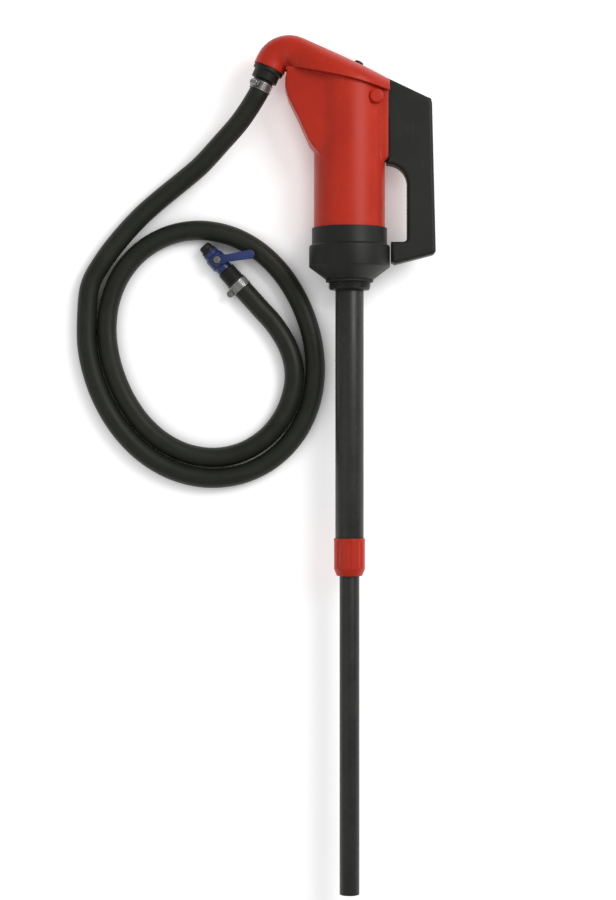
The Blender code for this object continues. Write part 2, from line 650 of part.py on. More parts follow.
# The lever
def lever():
    grip_corner = 0.117
    bar_top, bar_end = 0.036, COLLAR_RADIUS + 0.0015
    hub = (PIVOT.x, PIVOT.y)
    inner = CHEEK_REACH - 0.002
    shoulder = 0.028
    outline = [(bar_end, bar_top)]
    outline += arc((GRIP_INNER - 0.006, bar_top + 0.006), 0.006, -90, 0, 4)
    outline += arc((GRIP_INNER - shoulder, grip_corner), shoulder, 0, 88, 6)
    outline += [(inner, CHEEK_LOW), (inner, 0.2075), (PIVOT.x + 0.008, 0.212)]
    outline += arc(hub, LEVER_HUB_RADIUS, -110, -260, 10)
    hub_top = PIVOT.x + 0.013
    outline += [(hub_top, ridge_at(hub_top) - 0.0005)]
    tip = LEVER_REACH - 0.005
    outline += [(tip - 0.008, ridge_at(tip - 0.008) - 0.0005)]
    outline += [(tip - 0.0015, ridge_at(tip) + 0.0005), (tip, ridge_at(tip) - 0.006)]
    outline += [(LEVER_REACH, 0.026)] + arc((LEVER_REACH - 0.006, 0.024), 0.006, 0, -70, 3)
    outline += [(COLLAR_RADIUS + 0.007, 0.0045), (bar_end, 0.0075)]
    handle = slab("lever_handle", outline[::-1], -LEVER_HALF_WIDTH, LEVER_HALF_WIDTH, BLACK)
    put_origin(handle, PIVOT)
    bevel(handle, 0.004)
    swing = math.pi - LEVER_SWING / 2
    along = Vector((math.cos(swing), math.sin(swing), 0))
    side = Vector((-along.y, along.x, 0))
    near = PIVOT.x - 0.001
    far = PIVOT.x / math.cos(LEVER_SWING / 2) + 0.001

    def capsule(start, end, half):
        a, b = PIVOT + along * start, PIVOT + along * end
        direction = math.degrees(swing)
        tip_arc = arc(b, half, direction - 90, direction + 90, 8)
        if start < 0.02:
            return [tuple((a + side * half)[:2]), tuple((a - side * half)[:2])] + tip_arc
        return tip_arc + arc(a, half, direction + 90, direction + 270, 8)

    for name, low, high in (("front", PRONG_INNER, PRONG_OUTER), ("back", -PRONG_OUTER, -PRONG_INNER)):
        boolean(handle, slab(f"prong_{name}", capsule(0.010, far, PRONG_HALF_WIDTH), low, high), "UNION")
    boolean(handle, slab("prong_slot", capsule(near, far, PRONG_SLOT_HALF_WIDTH), -0.03, 0.03))
    bush = PIVOT_RADIUS + GAP + BUSH_WALL
    boolean(handle, cross_disc("bush_hole", bush + GAP, 0.03, PIVOT))
    across = frame_at(PIVOT, (0, 0, 1))
    ring("pivot_bush", PIVOT_RADIUS + GAP, bush, -LEVER_HALF_WIDTH, LEVER_HALF_WIDTH, NYLON, across, SMALL_STEPS)
    reach = BOSS_REACH + GAP
    groove = PIVOT_RADIUS - 0.001
    head = PIN_HEAD_RADIUS
    clip = reach + 0.0012
    profile = [
        (0, clip + 0.0028), (PIVOT_RADIUS - 0.0005, clip + 0.0028), (PIVOT_RADIUS, clip + 0.0023),
        (PIVOT_RADIUS, clip + GAP), (groove, clip + GAP), (groove, reach - GAP), (PIVOT_RADIUS, reach - GAP),
        (PIVOT_RADIUS, -reach), (head, -reach), (head, -reach - 0.003), (0, -reach - 0.003),
    ]
    turned("pivot_pin", profile, STEEL, across, SMALL_STEPS)
    ring("pivot_clip", groove + GAP, head, reach, clip, STEEL, across, SMALL_STEPS)


# The suction tubes and the coupler between them
def suction():
    inner = UPPER_TUBE_RADIUS - UPPER_TUBE_WALL
    ring("upper_suction_tube", inner, UPPER_TUBE_RADIUS, UPPER_TUBE_END, UPPER_TUBE_TOP, TUBE)
    slim = LOWER_TUBE_RADIUS - LOWER_TUBE_WALL
    ring("lower_suction_tube", slim, LOWER_TUBE_RADIUS, LOWER_TUBE_END, LOWER_TUBE_TOP, TUBE)
    sleeve = LOWER_TUBE_RADIUS + GAP
    ring("tube_stop_ring", sleeve, inner - GAP, LOWER_TUBE_TOP - 0.010, LOWER_TUBE_TOP - 0.003, NYLON)
    foot = COUPLER_TOP - COUPLER_LENGTH
    seat = UPPER_TUBE_END - GAP
    pocket = UPPER_TUBE_RADIUS - 0.001
    ledge = seat - COLLET_LENGTH - 2 * GAP
    profile = [
        (COUPLER_RADIUS - 0.001, COUPLER_TOP), (COUPLER_RADIUS, COUPLER_TOP - 0.001),
        (COUPLER_RADIUS, foot + COUPLER_TAPER), (LOWER_TUBE_RADIUS + 0.004, foot), (sleeve + GAP, foot),
        (sleeve + GAP, ledge), (pocket, ledge), (pocket, seat), (UPPER_TUBE_RADIUS + GAP, seat),
        (UPPER_TUBE_RADIUS + GAP, COUPLER_TOP),
    ]
    nut = turned("coupler_nut", profile, RED)
    for i in range(8):
        a = math.tau * i / 8
        at = (math.cos(a) * (COUPLER_RADIUS + 0.0012), 0, math.sin(a) * (COUPLER_RADIUS + 0.0012))
        low, high = foot + COUPLER_TAPER + 0.002, COUPLER_TOP - 0.004
        boolean(nut, disc(f"coupler_flute_{i}", 0.002, low, high, None, frame_at(at, (0, 1, 0)), 8))
    collet_top = seat - GAP
    profile = [
        (pocket - 0.003, collet_top), (pocket - GAP, collet_top - 0.005), (pocket - GAP, collet_top - COLLET_LENGTH + 0.005),
        (pocket - 0.003, collet_top - COLLET_LENGTH), (sleeve, collet_top - COLLET_LENGTH), (sleeve, collet_top),
    ]
    turned("coupler_collet", profile, NYLON)


# The hose, its clamps and the nozzle
def mouth_point(t):
    return SPOUT_MOUTH + t * Vector((-math.sin(SPOUT_TILT), -math.cos(SPOUT_TILT), 0))


def nozzle_point(u, height=0.0):
    """A point on the nozzle's axis, which lies as high as the clamp's band needs."""
    flat = NOZZLE_END + u * Vector((math.cos(NOZZLE_HEADING), math.sin(NOZZLE_HEADING)))
    return Vector((flat.x, flat.y, HOSE_FLOOR + GAP + CLAMP_BAND + height))


def coil_point(angle):
    turns = (angle - COIL_FROM) / math.tau
    radius = COIL_START_RADIUS - COIL_PITCH * turns + COIL_OVAL * math.cos(2 * (angle - COIL_OVAL_AT))
    return (COIL_CENTRE.x + radius * math.cos(angle), COIL_CENTRE.y + radius * math.sin(angle), HOSE_FLOOR)


def smooth_route(points, step):
    """Points a step apart on a smooth curve through these points."""
    found = []
    padded = [2 * points[0] - points[1], *points, 2 * points[-1] - points[-2]]
    for a, b, c, d in zip(padded, padded[1:], padded[2:], padded[3:]):
        for i in range(40):
            t = i / 40
            line, square, cube = (c - a) * t, 2 * a - 5 * b + 4 * c - d, 3 * b - a - 3 * c + d
            found.append(0.5 * (2 * b + line + square * t * t + cube * t * t * t))
    found.append(points[-1])
    kept, run = [found[0]], 0.0
    for a, b in zip(found, found[1:]):
        run += (b - a).length
        if run >= step:
            kept.append(b)
            run = 0.0
    if (kept[-1] - found[-1]).length < step / 2:
        kept.pop()
    return kept + [found[-1]]


def hose_route():
    points = [mouth_point(ADAPTER_LENGTH + GAP), mouth_point(ADAPTER_LENGTH + GAP + HOSE_STRAIGHT)]
    points += [Vector((x, y, HOSE_FLOOR + z)) for x, y, z in LEAD_ROUTE]
    count = round((COIL_TO - COIL_FROM) / math.tau * COIL_POINTS_A_TURN)
    points += [Vector(coil_point(COIL_FROM + (COIL_TO - COIL_FROM) * i / count)) for i in range(count + 1)]
    points += [Vector((x, y, HOSE_FLOOR + z)) for x, y, z in TAIL_ROUTE]
    points += [nozzle_point(-HOSE_STRAIGHT), nozzle_point(0.0)]
    route = smooth_route(points, 0.030)
    square_start = mouth_point(ADAPTER_LENGTH + GAP + HOSE_SQUARE)
    return [route[0], square_start, *route[1:-1], nozzle_point(-HOSE_SQUARE), route[-1]]


def delivery_hose():
    curve = bpy.data.curves.new("delivery_hose", "CURVE")
    curve.dimensions = "3D"
    curve.bevel_depth = HOSE_RADIUS
    curve.bevel_resolution = 2
    curve.use_fill_caps = True
    route = hose_route()
    line = curve.splines.new("POLY")
    line.points.add(len(route) - 1)
    for point, place in zip(line.points, route):
        point.co = (*place, 1)
    add("delivery_hose", curve, RUBBER)


def hose_clamp(name, frame, turn):
    """A worm-drive band with its screw housing, and the screw."""
    inner = HOSE_RADIUS + GAP
    outer = inner + CLAMP_BAND
    half = CLAMP_WIDTH / 2
    frame = frame @ Matrix.Rotation(turn, 4, "Z")
    band = ring(f"{name}_clamp", inner, outer, -half, half, STEEL, frame)
    screw_at = outer + CLAMP_SCREW_RADIUS - 0.0006
    across = frame @ Matrix.Translation((screw_at, 0, 0)) @ Matrix.Rotation(math.pi / 2, 4, "X")
    housing = disc(f"{name}_clamp_housing", CLAMP_SCREW_RADIUS + 0.0012, -0.0055, 0.0055, None, across, 12)
    boolean(housing, disc(f"{name}_clamp_hose_room", inner, -0.02, 0.02, None, frame))
    boolean(band, housing, "UNION")
    boolean(band, disc(f"{name}_clamp_screw_hole", CLAMP_SCREW_RADIUS - 0.001 + GAP, -0.02, 0.02, None, across, 12))
    shank = CLAMP_SCREW_RADIUS - 0.001
    profile = [(0, 0.009), (0.0034, 0.009), (0.0034, 0.0055 + GAP), (shank, 0.0055 + GAP), (shank, -0.007), (0, -0.007)]
    turned(f"{name}_clamp_screw", profile, STEEL, across, SMALL_STEPS)


def nozzle():
    heading = Vector((math.cos(NOZZLE_HEADING), math.sin(NOZZLE_HEADING), 0))

    def along(u):
        return frame_at(nozzle_point(u), heading)

    tail_low = GAP
    tail_high = TAIL_LENGTH
    profile = [
        (TAIL_RADIUS - 0.002, tail_high), (TAIL_RADIUS, tail_high - 0.002), (TAIL_RADIUS, tail_low + 0.002),
        (TAIL_RADIUS - 0.002, tail_low), (NOZZLE_BORE, tail_low), (NOZZLE_BORE, tail_high),
    ]
    turned("nozzle_tail", profile, BLACK, along(0), 24)
    half = VALVE_LENGTH / 2
    centre = TAIL_LENGTH + GAP + half
    neck = VALVE_RADIUS - 0.002
    room = BALL_RADIUS + GAP
    reach = half * 0.6
    cavity = [(NOZZLE_BORE, half)]
    steps = 6
    edge = math.asin(NOZZLE_BORE / room)
    turns = [edge + (math.pi - 2 * edge) * i / steps for i in range(steps + 1)]
    sphere = [(room * math.sin(a), -room * math.cos(a)) for a in turns]
    profile = [
        (neck - 0.001, half), (neck, half - 0.001), (neck, reach), (VALVE_RADIUS, reach - 0.002),
        (VALVE_RADIUS, -reach + 0.002), (neck, -reach), (neck, -half + 0.001), (neck - 0.001, -half),
        (NOZZLE_BORE, -half),
    ]
    body = turned("valve_body", profile + sphere + cavity, BLUE, along(centre), 24)
    at = nozzle_point(centre)
    up = frame_at(at, (0, 0, 1))
    boss_top = VALVE_LEVER_LIFT - 0.0015
    post = STEM_POST_RADIUS + GAP
    boss = ring("stem_boss", post, STEM_POST_RADIUS + 0.003, room + 0.001, boss_top, None, up, SMALL_STEPS)
    boolean(body, boss, "UNION")
    boolean(body, disc("stem_hole", post, room - 0.003, boss_top + 0.01, None, up, SMALL_STEPS))
    ball = bpy.data.meshes.new("valve_ball")
    shape = bmesh.new()
    bmesh.ops.create_uvsphere(shape, u_segments=20, v_segments=12, radius=BALL_RADIUS)
    shape.to_mesh(ball)
    shape.free()
    smooth(ball)
    obj = add("valve_ball", ball, BRASS)
    obj.matrix_local = up
    # The ball's bore lies along its lever, which here stands across the nozzle, so the valve is closed
    open_way = frame_at(at, (math.cos(VALVE_LEVER_HEADING), math.sin(VALVE_LEVER_HEADING), 0))
    boolean(obj, disc("ball_bore", NOZZLE_BORE - 0.0005, -0.02, 0.02, None, open_way, SMALL_STEPS))
    boolean(obj, disc("ball_slot", STEM_POST_RADIUS + 2 * GAP, BALL_RADIUS - 0.0022, 0.02, None, up, SMALL_STEPS))
    stem_low = BALL_RADIUS - 0.0022 + GAP
    square = STEM_POST_RADIUS - 0.001
    lever_low = VALVE_LEVER_LIFT
    lever_top = lever_low + VALVE_LEVER_THICKNESS
    profile = [
        (0, lever_top + 0.004), (square - 0.0005, lever_top + 0.004), (square - 0.0005, lever_low - 0.0005),
        (STEM_POST_RADIUS, lever_low - 0.0005), (STEM_POST_RADIUS, stem_low), (0, stem_low),
    ]
    turned("valve_stem", profile, BRASS, up, SMALL_STEPS)
    hex_nut("valve_lever_nut", square - 0.0005 + GAP, 0.0052, lever_top + GAP, lever_top + 0.0032, STEEL, up)
    valve_lever(at, lever_low, lever_top, square - 0.0005 + GAP)
    spout_low = centre + half + GAP
    tip = NOZZLE_SPOUT_RADIUS
    profile = [
        (tip - 0.0015, NOZZLE_SPOUT_LENGTH), (tip, NOZZLE_SPOUT_LENGTH - 0.0015), (tip, 0.004), (neck - 0.001, 0.004),
        (neck - 0.001, 0), (NOZZLE_BORE, 0), (NOZZLE_BORE, NOZZLE_SPOUT_LENGTH),
    ]
    turned("outlet_spout", profile, BLACK, along(spout_low), 24)


def valve_lever(at, low, high, hole):
    half = VALVE_LEVER_HALF_WIDTH
    tip = VALVE_LEVER_LENGTH - half
    outline = arc((0, 0), half + 0.0015, 60, 300, 8) + [(0.014, -half + 0.0015)]
    outline += arc((tip, 0), half, -90, 90, 8) + [(0.014, half - 0.0015)]
    plate = slab("valve_lever", outline, low, high, BLUE)
    plate.matrix_local = Matrix.Translation(at) @ Matrix.Rotation(VALVE_LEVER_HEADING, 4, "Z")
    boolean(plate, disc("lever_hole", hole, 0.0, 0.05, None, frame_at(at, (0, 0, 1)), SMALL_STEPS))


def set_down():
    """Puts the pump's base centre at the origin, measured without the hose and what is on it."""
    bpy.context.view_layer.update()
    graph = bpy.context.evaluated_depsgraph_get()
    low, high = Vector((1e9,) * 3), Vector((-1e9,) * 3)
    for obj in PARTS.objects:
        if obj.type == "EMPTY" or obj.name in ON_THE_HOSE:
            continue
        evaluated = obj.evaluated_get(graph)
        for corner in evaluated.bound_box:
            place = evaluated.matrix_world @ Vector(corner)
            low = Vector(map(min, low, place))
            high = Vector(map(max, high, place))
    DATUM.location = (round(-(low.x + high.x) / 2, 4), round(-(low.y + high.y) / 2, 4), AXIS_HEIGHT)


ON_THE_HOSE = (
    "delivery_hose", "spout_clamp", "spout_clamp_screw", "nozzle_clamp", "nozzle_clamp_screw", "nozzle_tail",
    "valve_body", "valve_ball", "valve_stem", "valve_lever", "valve_lever_nut", "outlet_spout",
)

head_cover()
vent_plug()
spout_adapter()
pump_body()
base()
foot_valve()
piston()
gland()
lever()
suction()
delivery_hose()
hose_clamp("spout", frame_at(mouth_point(ADAPTER_LENGTH + 0.010), mouth_point(1) - mouth_point(0)), math.radians(120))
hose_clamp("nozzle", frame_at(nozzle_point(-0.010), nozzle_point(1) - nozzle_point(0)), 0.0)
nozzle()
set_down()
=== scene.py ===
import math

import bmesh
import bpy
from mathutils import Matrix, Vector


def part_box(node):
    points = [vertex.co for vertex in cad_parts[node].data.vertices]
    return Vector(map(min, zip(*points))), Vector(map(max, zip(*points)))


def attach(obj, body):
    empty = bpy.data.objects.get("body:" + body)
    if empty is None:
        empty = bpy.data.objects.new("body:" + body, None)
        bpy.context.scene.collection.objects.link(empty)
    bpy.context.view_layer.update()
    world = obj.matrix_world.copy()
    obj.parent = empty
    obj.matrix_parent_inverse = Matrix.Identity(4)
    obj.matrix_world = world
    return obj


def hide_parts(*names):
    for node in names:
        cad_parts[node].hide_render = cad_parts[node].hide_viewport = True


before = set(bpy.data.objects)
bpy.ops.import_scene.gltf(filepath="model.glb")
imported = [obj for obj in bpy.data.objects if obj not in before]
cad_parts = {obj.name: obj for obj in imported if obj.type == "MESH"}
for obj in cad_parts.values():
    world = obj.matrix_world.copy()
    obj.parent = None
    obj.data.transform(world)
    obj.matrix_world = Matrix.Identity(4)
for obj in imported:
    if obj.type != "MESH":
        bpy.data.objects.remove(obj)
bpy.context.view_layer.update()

# Every shape is drawn in the pump's own frame, in metres: x = z = 0 on its axis, y = 0 at the collar's
# lower edge.
COLLAR_FOOT = 0.031  # from the collar's lower edge down to the end of its thread
collar_low, collar_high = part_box("base_collar")
DATUM = Vector((
    (collar_low.x + collar_high.x) / 2, collar_low.y + COLLAR_FOOT, (collar_low.z + collar_high.z) / 2,
))
AXIS_HEIGHT = DATUM.z
GAP = 0.0003  # between pieces that touch
BODY_RADIUS = 0.050  # the hood, the collar, the cheeks and the lever are sized from it

# Colours, linear
RED = (0.640, 0.036, 0.014, 1.0)
RED_DEEP = (0.520, 0.026, 0.010, 1.0)
RED_RUBBED = (0.700, 0.100, 0.060, 1.0)
BLACK = (0.020, 0.021, 0.017, 1.0)
BLACK_DEEP = (0.012, 0.013, 0.010, 1.0)
BLACK_RUBBED = (0.075, 0.075, 0.066, 1.0)
TUBE_GREY = (0.032, 0.033, 0.029, 1.0)
TUBE_DEEP = (0.021, 0.022, 0.019, 1.0)
HOSE_BLACK = (0.019, 0.022, 0.014, 1.0)
HOSE_DEEP = (0.012, 0.014, 0.009, 1.0)
DUST = (0.160, 0.155, 0.135, 1.0)
SEAL_BLACK = (0.014, 0.014, 0.014, 1.0)
ZINC = (0.400, 0.410, 0.400, 1.0)
ZINC_DULL = (0.240, 0.245, 0.235, 1.0)
STEEL = (0.550, 0.550, 0.530, 1.0)
STEEL_DULL = (0.380, 0.380, 0.370, 1.0)
BRASS = (0.560, 0.390, 0.130, 1.0)
BRASS_DULL = (0.330, 0.210, 0.080, 1.0)
NYLON = (0.720, 0.710, 0.660, 1.0)
NYLON_DEEP = (0.600, 0.580, 0.510, 1.0)
BLUE = (0.022, 0.042, 0.190, 1.0)
BLUE_DEEP = (0.014, 0.026, 0.110, 1.0)
BLUE_RUBBED = (0.110, 0.150, 0.330, 1.0)

# Camera, straight above the pump as it lies
VIEW_CENTRE = Vector((-0.0488, 0.0213))
VIEW_HEIGHT = 1.269  # what the picture takes in, top to bottom, at the pump's axis
CAMERA_ABOVE = 3.0
SENSOR = 36.0

camera_data = bpy.data.cameras.new("studio_camera")
camera_data.sensor_width = SENSOR
camera_data.lens = SENSOR * CAMERA_ABOVE / VIEW_HEIGHT
camera = bpy.data.objects.new("studio_camera", camera_data)
bpy.context.scene.collection.objects.link(camera)
camera.location = (*VIEW_CENTRE, AXIS_HEIGHT + CAMERA_ABOVE)
bpy.context.scene.camera = camera


# Shader groups that the finishes share
def shader_group(name, inputs, outputs):
    group = bpy.data.node_groups.new(name, "ShaderNodeTree")
    for title, kind, value in inputs:
        socket = group.interface.new_socket(name=title, in_out="INPUT", socket_type=kind)
        if value is not None:
            socket.default_value = value
    for title, kind in outputs:
        group.interface.new_socket(name=title, in_out="OUTPUT", socket_type=kind)
    return group, group.nodes.new("NodeGroupInput"), group.nodes.new("NodeGroupOutput")


def noise(tree, vector, scale, detail=3.0, roughness=0.5):
    node = tree.nodes.new("ShaderNodeTexNoise")
    tree.links.new(vector, node.inputs["Vector"])
    if isinstance(scale, float):
        node.inputs["Scale"].default_value = scale
    else:
        tree.links.new(scale, node.inputs["Scale"])
    node.inputs["Detail"].default_value = detail
    node.inputs["Roughness"].default_value = roughness
    return node.outputs["Fac"]


def remap(tree, value, low, high, to_low=0.0, to_high=1.0):
    node = tree.nodes.new("ShaderNodeMapRange")
    tree.links.new(value, node.inputs["Value"])
    for title, number in zip(("From Min", "From Max", "To Min", "To Max"), (low, high, to_low, to_high)):
        node.inputs[title].default_value = number
    return node.outputs["Result"]


def sum_of(tree, a, b, operation="ADD"):
    node = tree.nodes.new("ShaderNodeMath")
    node.operation = operation
    for socket, value in zip(node.inputs, (a, b)):
        if isinstance(value, float):
            socket.default_value = value
        else:
            tree.links.new(value, socket)
    return node.outputs["Value"]


def stretched(tree, vector, scale):
    node = tree.nodes.new("ShaderNodeMapping")
    tree.links.new(vector, node.inputs["Vector"])
    node.inputs["Scale"].default_value = scale
    return node.outputs["Vector"]


def make_mould_grain():
    """The fine sparked grain of a moulding tool, with the slow sink of thick walls under it."""
    group, given, out = shader_group(
        "mould_grain",
        [("Place", "NodeSocketVector", None), ("Grain Scale", "NodeSocketFloat", 900.0)],
        [("Height", "NodeSocketFloat"), ("Fleck", "NodeSocketFloat")],
    )
    place, scale = given.outputs["Place"], given.outputs["Grain Scale"]
    fine = noise(group, place, scale, 2.0, 0.6)
    sink = noise(group, place, 28.0, 1.0)
    height = sum_of(group, fine, sum_of(group, sink, 1.5, "MULTIPLY"))
    group.links.new(height, out.inputs["Height"])
    group.links.new(remap(group, fine, 0.42, 0.62), out.inputs["Fleck"])
    return group


def make_handling():
    """Broad patches of polish from handling, and thin scuffs along the piece."""
    group, given, out = shader_group(
        "handling",
        [("Place", "NodeSocketVector", None)],
        [("Patches", "NodeSocketFloat"), ("Scuffs", "NodeSocketFloat")],
    )
    place = given.outputs["Place"]
    group.links.new(remap(group, noise(group, place, 16.0, 3.0), 0.38, 0.66), out.inputs["Patches"])
    lines = noise(group, stretched(group, place, (260.0, 22.0, 260.0)), 1.0, 2.0, 0.6)
    where = remap(group, noise(group, place, 34.0, 1.0), 0.52, 0.66)
    scuffs = sum_of(group, remap(group, lines, 0.62, 0.70), where, "MULTIPLY")
    group.links.new(scuffs, out.inputs["Scuffs"])
    return group


def make_edge_rub():
    """Where corners are rubbed: the sharper the corner, the more, broken up by a noise."""
    group, given, out = shader_group(
        "edge_rub",
        [("Place", "NodeSocketVector", None), ("Start", "NodeSocketFloat", 0.53)],
        [("Mask", "NodeSocketFloat")],
    )
    shape = group.nodes.new("ShaderNodeNewGeometry")
    past = sum_of(group, shape.outputs["Pointiness"], given.outputs["Start"], "SUBTRACT")
    sharp = remap(group, past, 0.0, 0.08)
    broken = remap(group, noise(group, given.outputs["Place"], 120.0, 3.0), 0.40, 0.62)
    group.links.new(sum_of(group, sharp, broken, "MULTIPLY"), out.inputs["Mask"])
    return group


MOULD_GRAIN = make_mould_grain()
HANDLING = make_handling()
EDGE_RUB = make_edge_rub()


def blend_colour(tree, share, first, second):
    node = tree.nodes.new("ShaderNodeMix")
    node.data_type = "RGBA"
    tree.links.new(share, node.inputs["Factor"])
    for socket, colour in ((node.inputs[6], first), (node.inputs[7], second)):
        if isinstance(colour, tuple):
            socket.default_value = colour
        else:
            tree.links.new(colour, socket)
    return node.outputs[2]


def place_group(tree, group, place):
    node = tree.nodes.new("ShaderNodeGroup")
    node.node_tree = group
    tree.links.new(place, node.inputs["Place"])
    return node


def surface(
    name, colour, deep, rubbed, rough, grain=900.0, depth=0.00004, metallic=0.0, rub=0.7, scuff=0.35,
    dust=0.0, shine=0.5,
):
    """A finish with its grain, its handling marks and its rubbed corners."""
    made = bpy.data.materials.new(name)
    made.use_nodes = True
    made.diffuse_color = colour
    tree = made.node_tree
    shader = tree.nodes["Principled BSDF"]
    place = tree.nodes.new("ShaderNodeTexCoord").outputs["Object"]
    mould = place_group(tree, MOULD_GRAIN, place)
    mould.inputs["Grain Scale"].default_value = grain
    marks = place_group(tree, HANDLING, place)
    edges = place_group(tree, EDGE_RUB, place)
    patches = sum_of(tree, marks.outputs["Patches"], 0.7, "MULTIPLY")
    tone = sum_of(tree, patches, sum_of(tree, mould.outputs["Fleck"], 0.3, "MULTIPLY"))
    body = blend_colour(tree, tone, colour, deep)
    body = blend_colour(tree, sum_of(tree, edges.outputs["Mask"], rub, "MULTIPLY"), body, rubbed)
    body = blend_colour(tree, sum_of(tree, marks.outputs["Scuffs"], scuff, "MULTIPLY"), body, rubbed)
    if dust:
        shape = tree.nodes.new("ShaderNodeNewGeometry")
        part = tree.nodes.new("ShaderNodeSeparateXYZ")
        tree.links.new(shape.outputs["Normal"], part.inputs["Vector"])
        settled = remap(tree, part.outputs["Z"], 0.35, 1.0, 0.0, dust)
        broken = remap(tree, noise(tree, place, 45.0, 4.0, 0.6), 0.35, 0.70)
        body = blend_colour(tree, sum_of(tree, settled, broken, "MULTIPLY"), body, DUST)
    tree.links.new(body, shader.inputs["Base Color"])
    worn = remap(tree, patches, 0.0, 0.7, rough + 0.05, rough - 0.05)
    worn = sum_of(tree, worn, sum_of(tree, marks.outputs["Scuffs"], 0.18, "MULTIPLY"))
    tree.links.new(worn, shader.inputs["Roughness"])
    shader.inputs["Metallic"].default_value = metallic
    shader.inputs["Specular IOR Level"].default_value = shine
    bump = tree.nodes.new("ShaderNodeBump")
    bump.inputs["Strength"].default_value = 1.0
    bump.inputs["Distance"].default_value = depth
    tree.links.new(mould.outputs["Height"], bump.inputs["Height"])
    tree.links.new(bump.outputs["Normal"], shader.inputs["Normal"])
    return made


FINISHES = {
    "red_plastic": surface(
        "red_moulded_plastic", RED, RED_DEEP, RED_RUBBED, 0.42, 1100.0, 0.00003, shine=0.28,
    ),
    "black_plastic": surface(
        "black_moulded_plastic", BLACK, BLACK_DEEP, BLACK_RUBBED, 0.50, 800.0, 0.00006, shine=0.3,
    ),
    "tube_plastic": surface(
        "drawn_tube_plastic", TUBE_GREY, TUBE_DEEP, BLACK_RUBBED, 0.42, 500.0, 0.00003, scuff=0.5, shine=0.35,
    ),
    "hose_rubber": surface(
        "hose_rubber", HOSE_BLACK, HOSE_DEEP, BLACK_RUBBED, 0.52, 700.0, 0.00006, rub=0.0, scuff=0.15,
        dust=0.05, shine=0.3,
    ),
    "seal_rubber": surface(
        "seal_rubber", SEAL_BLACK, BLACK_DEEP, BLACK_RUBBED, 0.70, 600.0, 0.00005, rub=0.2,
    ),
    "zinc_steel": surface("zinc_plated_steel", ZINC, ZINC_DULL, STEEL, 0.38, 1500.0, 0.00001, 0.9),
    "stainless_steel": surface("stainless_steel", STEEL, STEEL_DULL, STEEL, 0.27, 1500.0, 0.00001, 1.0),
    "brass": surface("turned_brass", BRASS, BRASS_DULL, BRASS, 0.34, 1500.0, 0.00001, 1.0),
    "white_nylon": surface("natural_nylon", NYLON, NYLON_DEEP, NYLON, 0.48, 900.0, 0.00003),
    "blue_plastic": surface("blue_moulded_plastic", BLUE, BLUE_DEEP, BLUE_RUBBED, 0.38, 900.0, 0.00004),
}


# Modelling
def frame_at(origin, along):
    """A frame at origin with its Z along the given direction."""
    turn = Vector(along).to_track_quat("Z", "Y").to_matrix().to_4x4()
    return Matrix.Translation(origin) @ turn


PUMP_AXIS = frame_at((0, 0, 0), (0, 1, 0))


def rounded(profile, radius, steps=3):
    """The profile with each corner eased by a small radius, left alone where it meets the axis."""
    eased = []
    count = len(profile)
    for i, corner in enumerate(profile):
        here = Vector(corner)
        before, after = Vector(profile[i - 1]), Vector(profile[(i + 1) % count])
        if here.x == 0 or (before.x == 0 and here.x == 0):
            eased.append(here)
            continue
        back, ahead = before - here, after - here
        reach = min(radius, back.length * 0.45, ahead.length * 0.45)
        start, end = here + back.normalized() * reach, here + ahead.normalized() * reach
        for j in range(steps + 1):
            t = j / steps
            eased.append(start * (1 - t) ** 2 + here * 2 * t * (1 - t) + end * t * t)
    return eased


def spun(profile, place=PUMP_AXIS, steps=96, shape=None):
    """A closed profile of (radius, height) turned about the frame's Z, added to a shape if one is given."""
    turned = bmesh.new()
    points = [turned.verts.new((r, 0, h)) for r, h in profile]
    edges = [turned.edges.new(pair) for pair in zip(points, points[1:])]
    if profile[0][0] > 0:
        edges.append(turned.edges.new((points[-1], points[0])))
    bmesh.ops.spin(
        turned, geom=[*points, *edges], cent=(0, 0, 0), axis=(0, 0, 1), angle=math.tau, steps=steps,
        use_merge=True,
    )
    bmesh.ops.remove_doubles(turned, verts=turned.verts, dist=1e-6)
    bmesh.ops.recalc_face_normals(turned, faces=turned.faces)
    bmesh.ops.transform(turned, matrix=place, verts=turned.verts)
    return joined(shape, turned) if shape else turned


def joined(shape, other):
    """Adds the other shape to this one."""
    carried = bpy.data.meshes.new("carried")
    other.to_mesh(carried)
    other.free()
    shape.from_mesh(carried)
    bpy.data.meshes.remove(carried)
    return shape


def plate(outline, low, high, edge, segments=4):
    """An outline in the pump's plane, thick from low to high, with rounded rims."""
    shape = bmesh.new()
    face = shape.faces.new([shape.verts.new((x, y, low)) for x, y in outline])
    grown = bmesh.ops.extrude_face_region(shape, geom=[face])
    top = [v for v in grown["geom"] if isinstance(v, bmesh.types.BMVert)]
    bmesh.ops.translate(shape, verts=top, vec=(0, 0, high - low))
    bmesh.ops.recalc_face_normals(shape, faces=shape.faces)
    rims = [e for e in shape.edges if abs(e.verts[0].co.z - e.verts[1].co.z) < 1e-7]
    bmesh.ops.bevel(
        shape, geom=rims, offset=edge, offset_type="OFFSET", segments=segments, profile=0.5, affect="EDGES",
        clamp_overlap=False, material=-1,
    )
    return shape


def arc(centre, radius, start, end, steps=12):
    """Points along an arc, from one angle in degrees to another."""
    angles = [math.radians(start + (end - start) * i / steps) for i in range(steps + 1)]
    return [(centre[0] + radius * math.cos(a), centre[1] + radius * math.sin(a)) for a in angles]


def between(rows, steps):
    """Rows of numbers filled in smoothly, this many steps to each gap."""
    padded = [2 * rows[0] - rows[1], *rows, 2 * rows[-1] - rows[-2]]
    filled = []
    for a, b, c, d in zip(padded, padded[1:], padded[2:], padded[3:]):
        for i in range(steps):
            t = i / steps
            line, square, cube = (c - a) * t, 2 * a - 5 * b + 4 * c - d, 3 * b - a - 3 * c + d
            filled.append(0.5 * (2 * b + line + square * t * t + cube * t * t * t))
    return [*filled, rows[-1]]


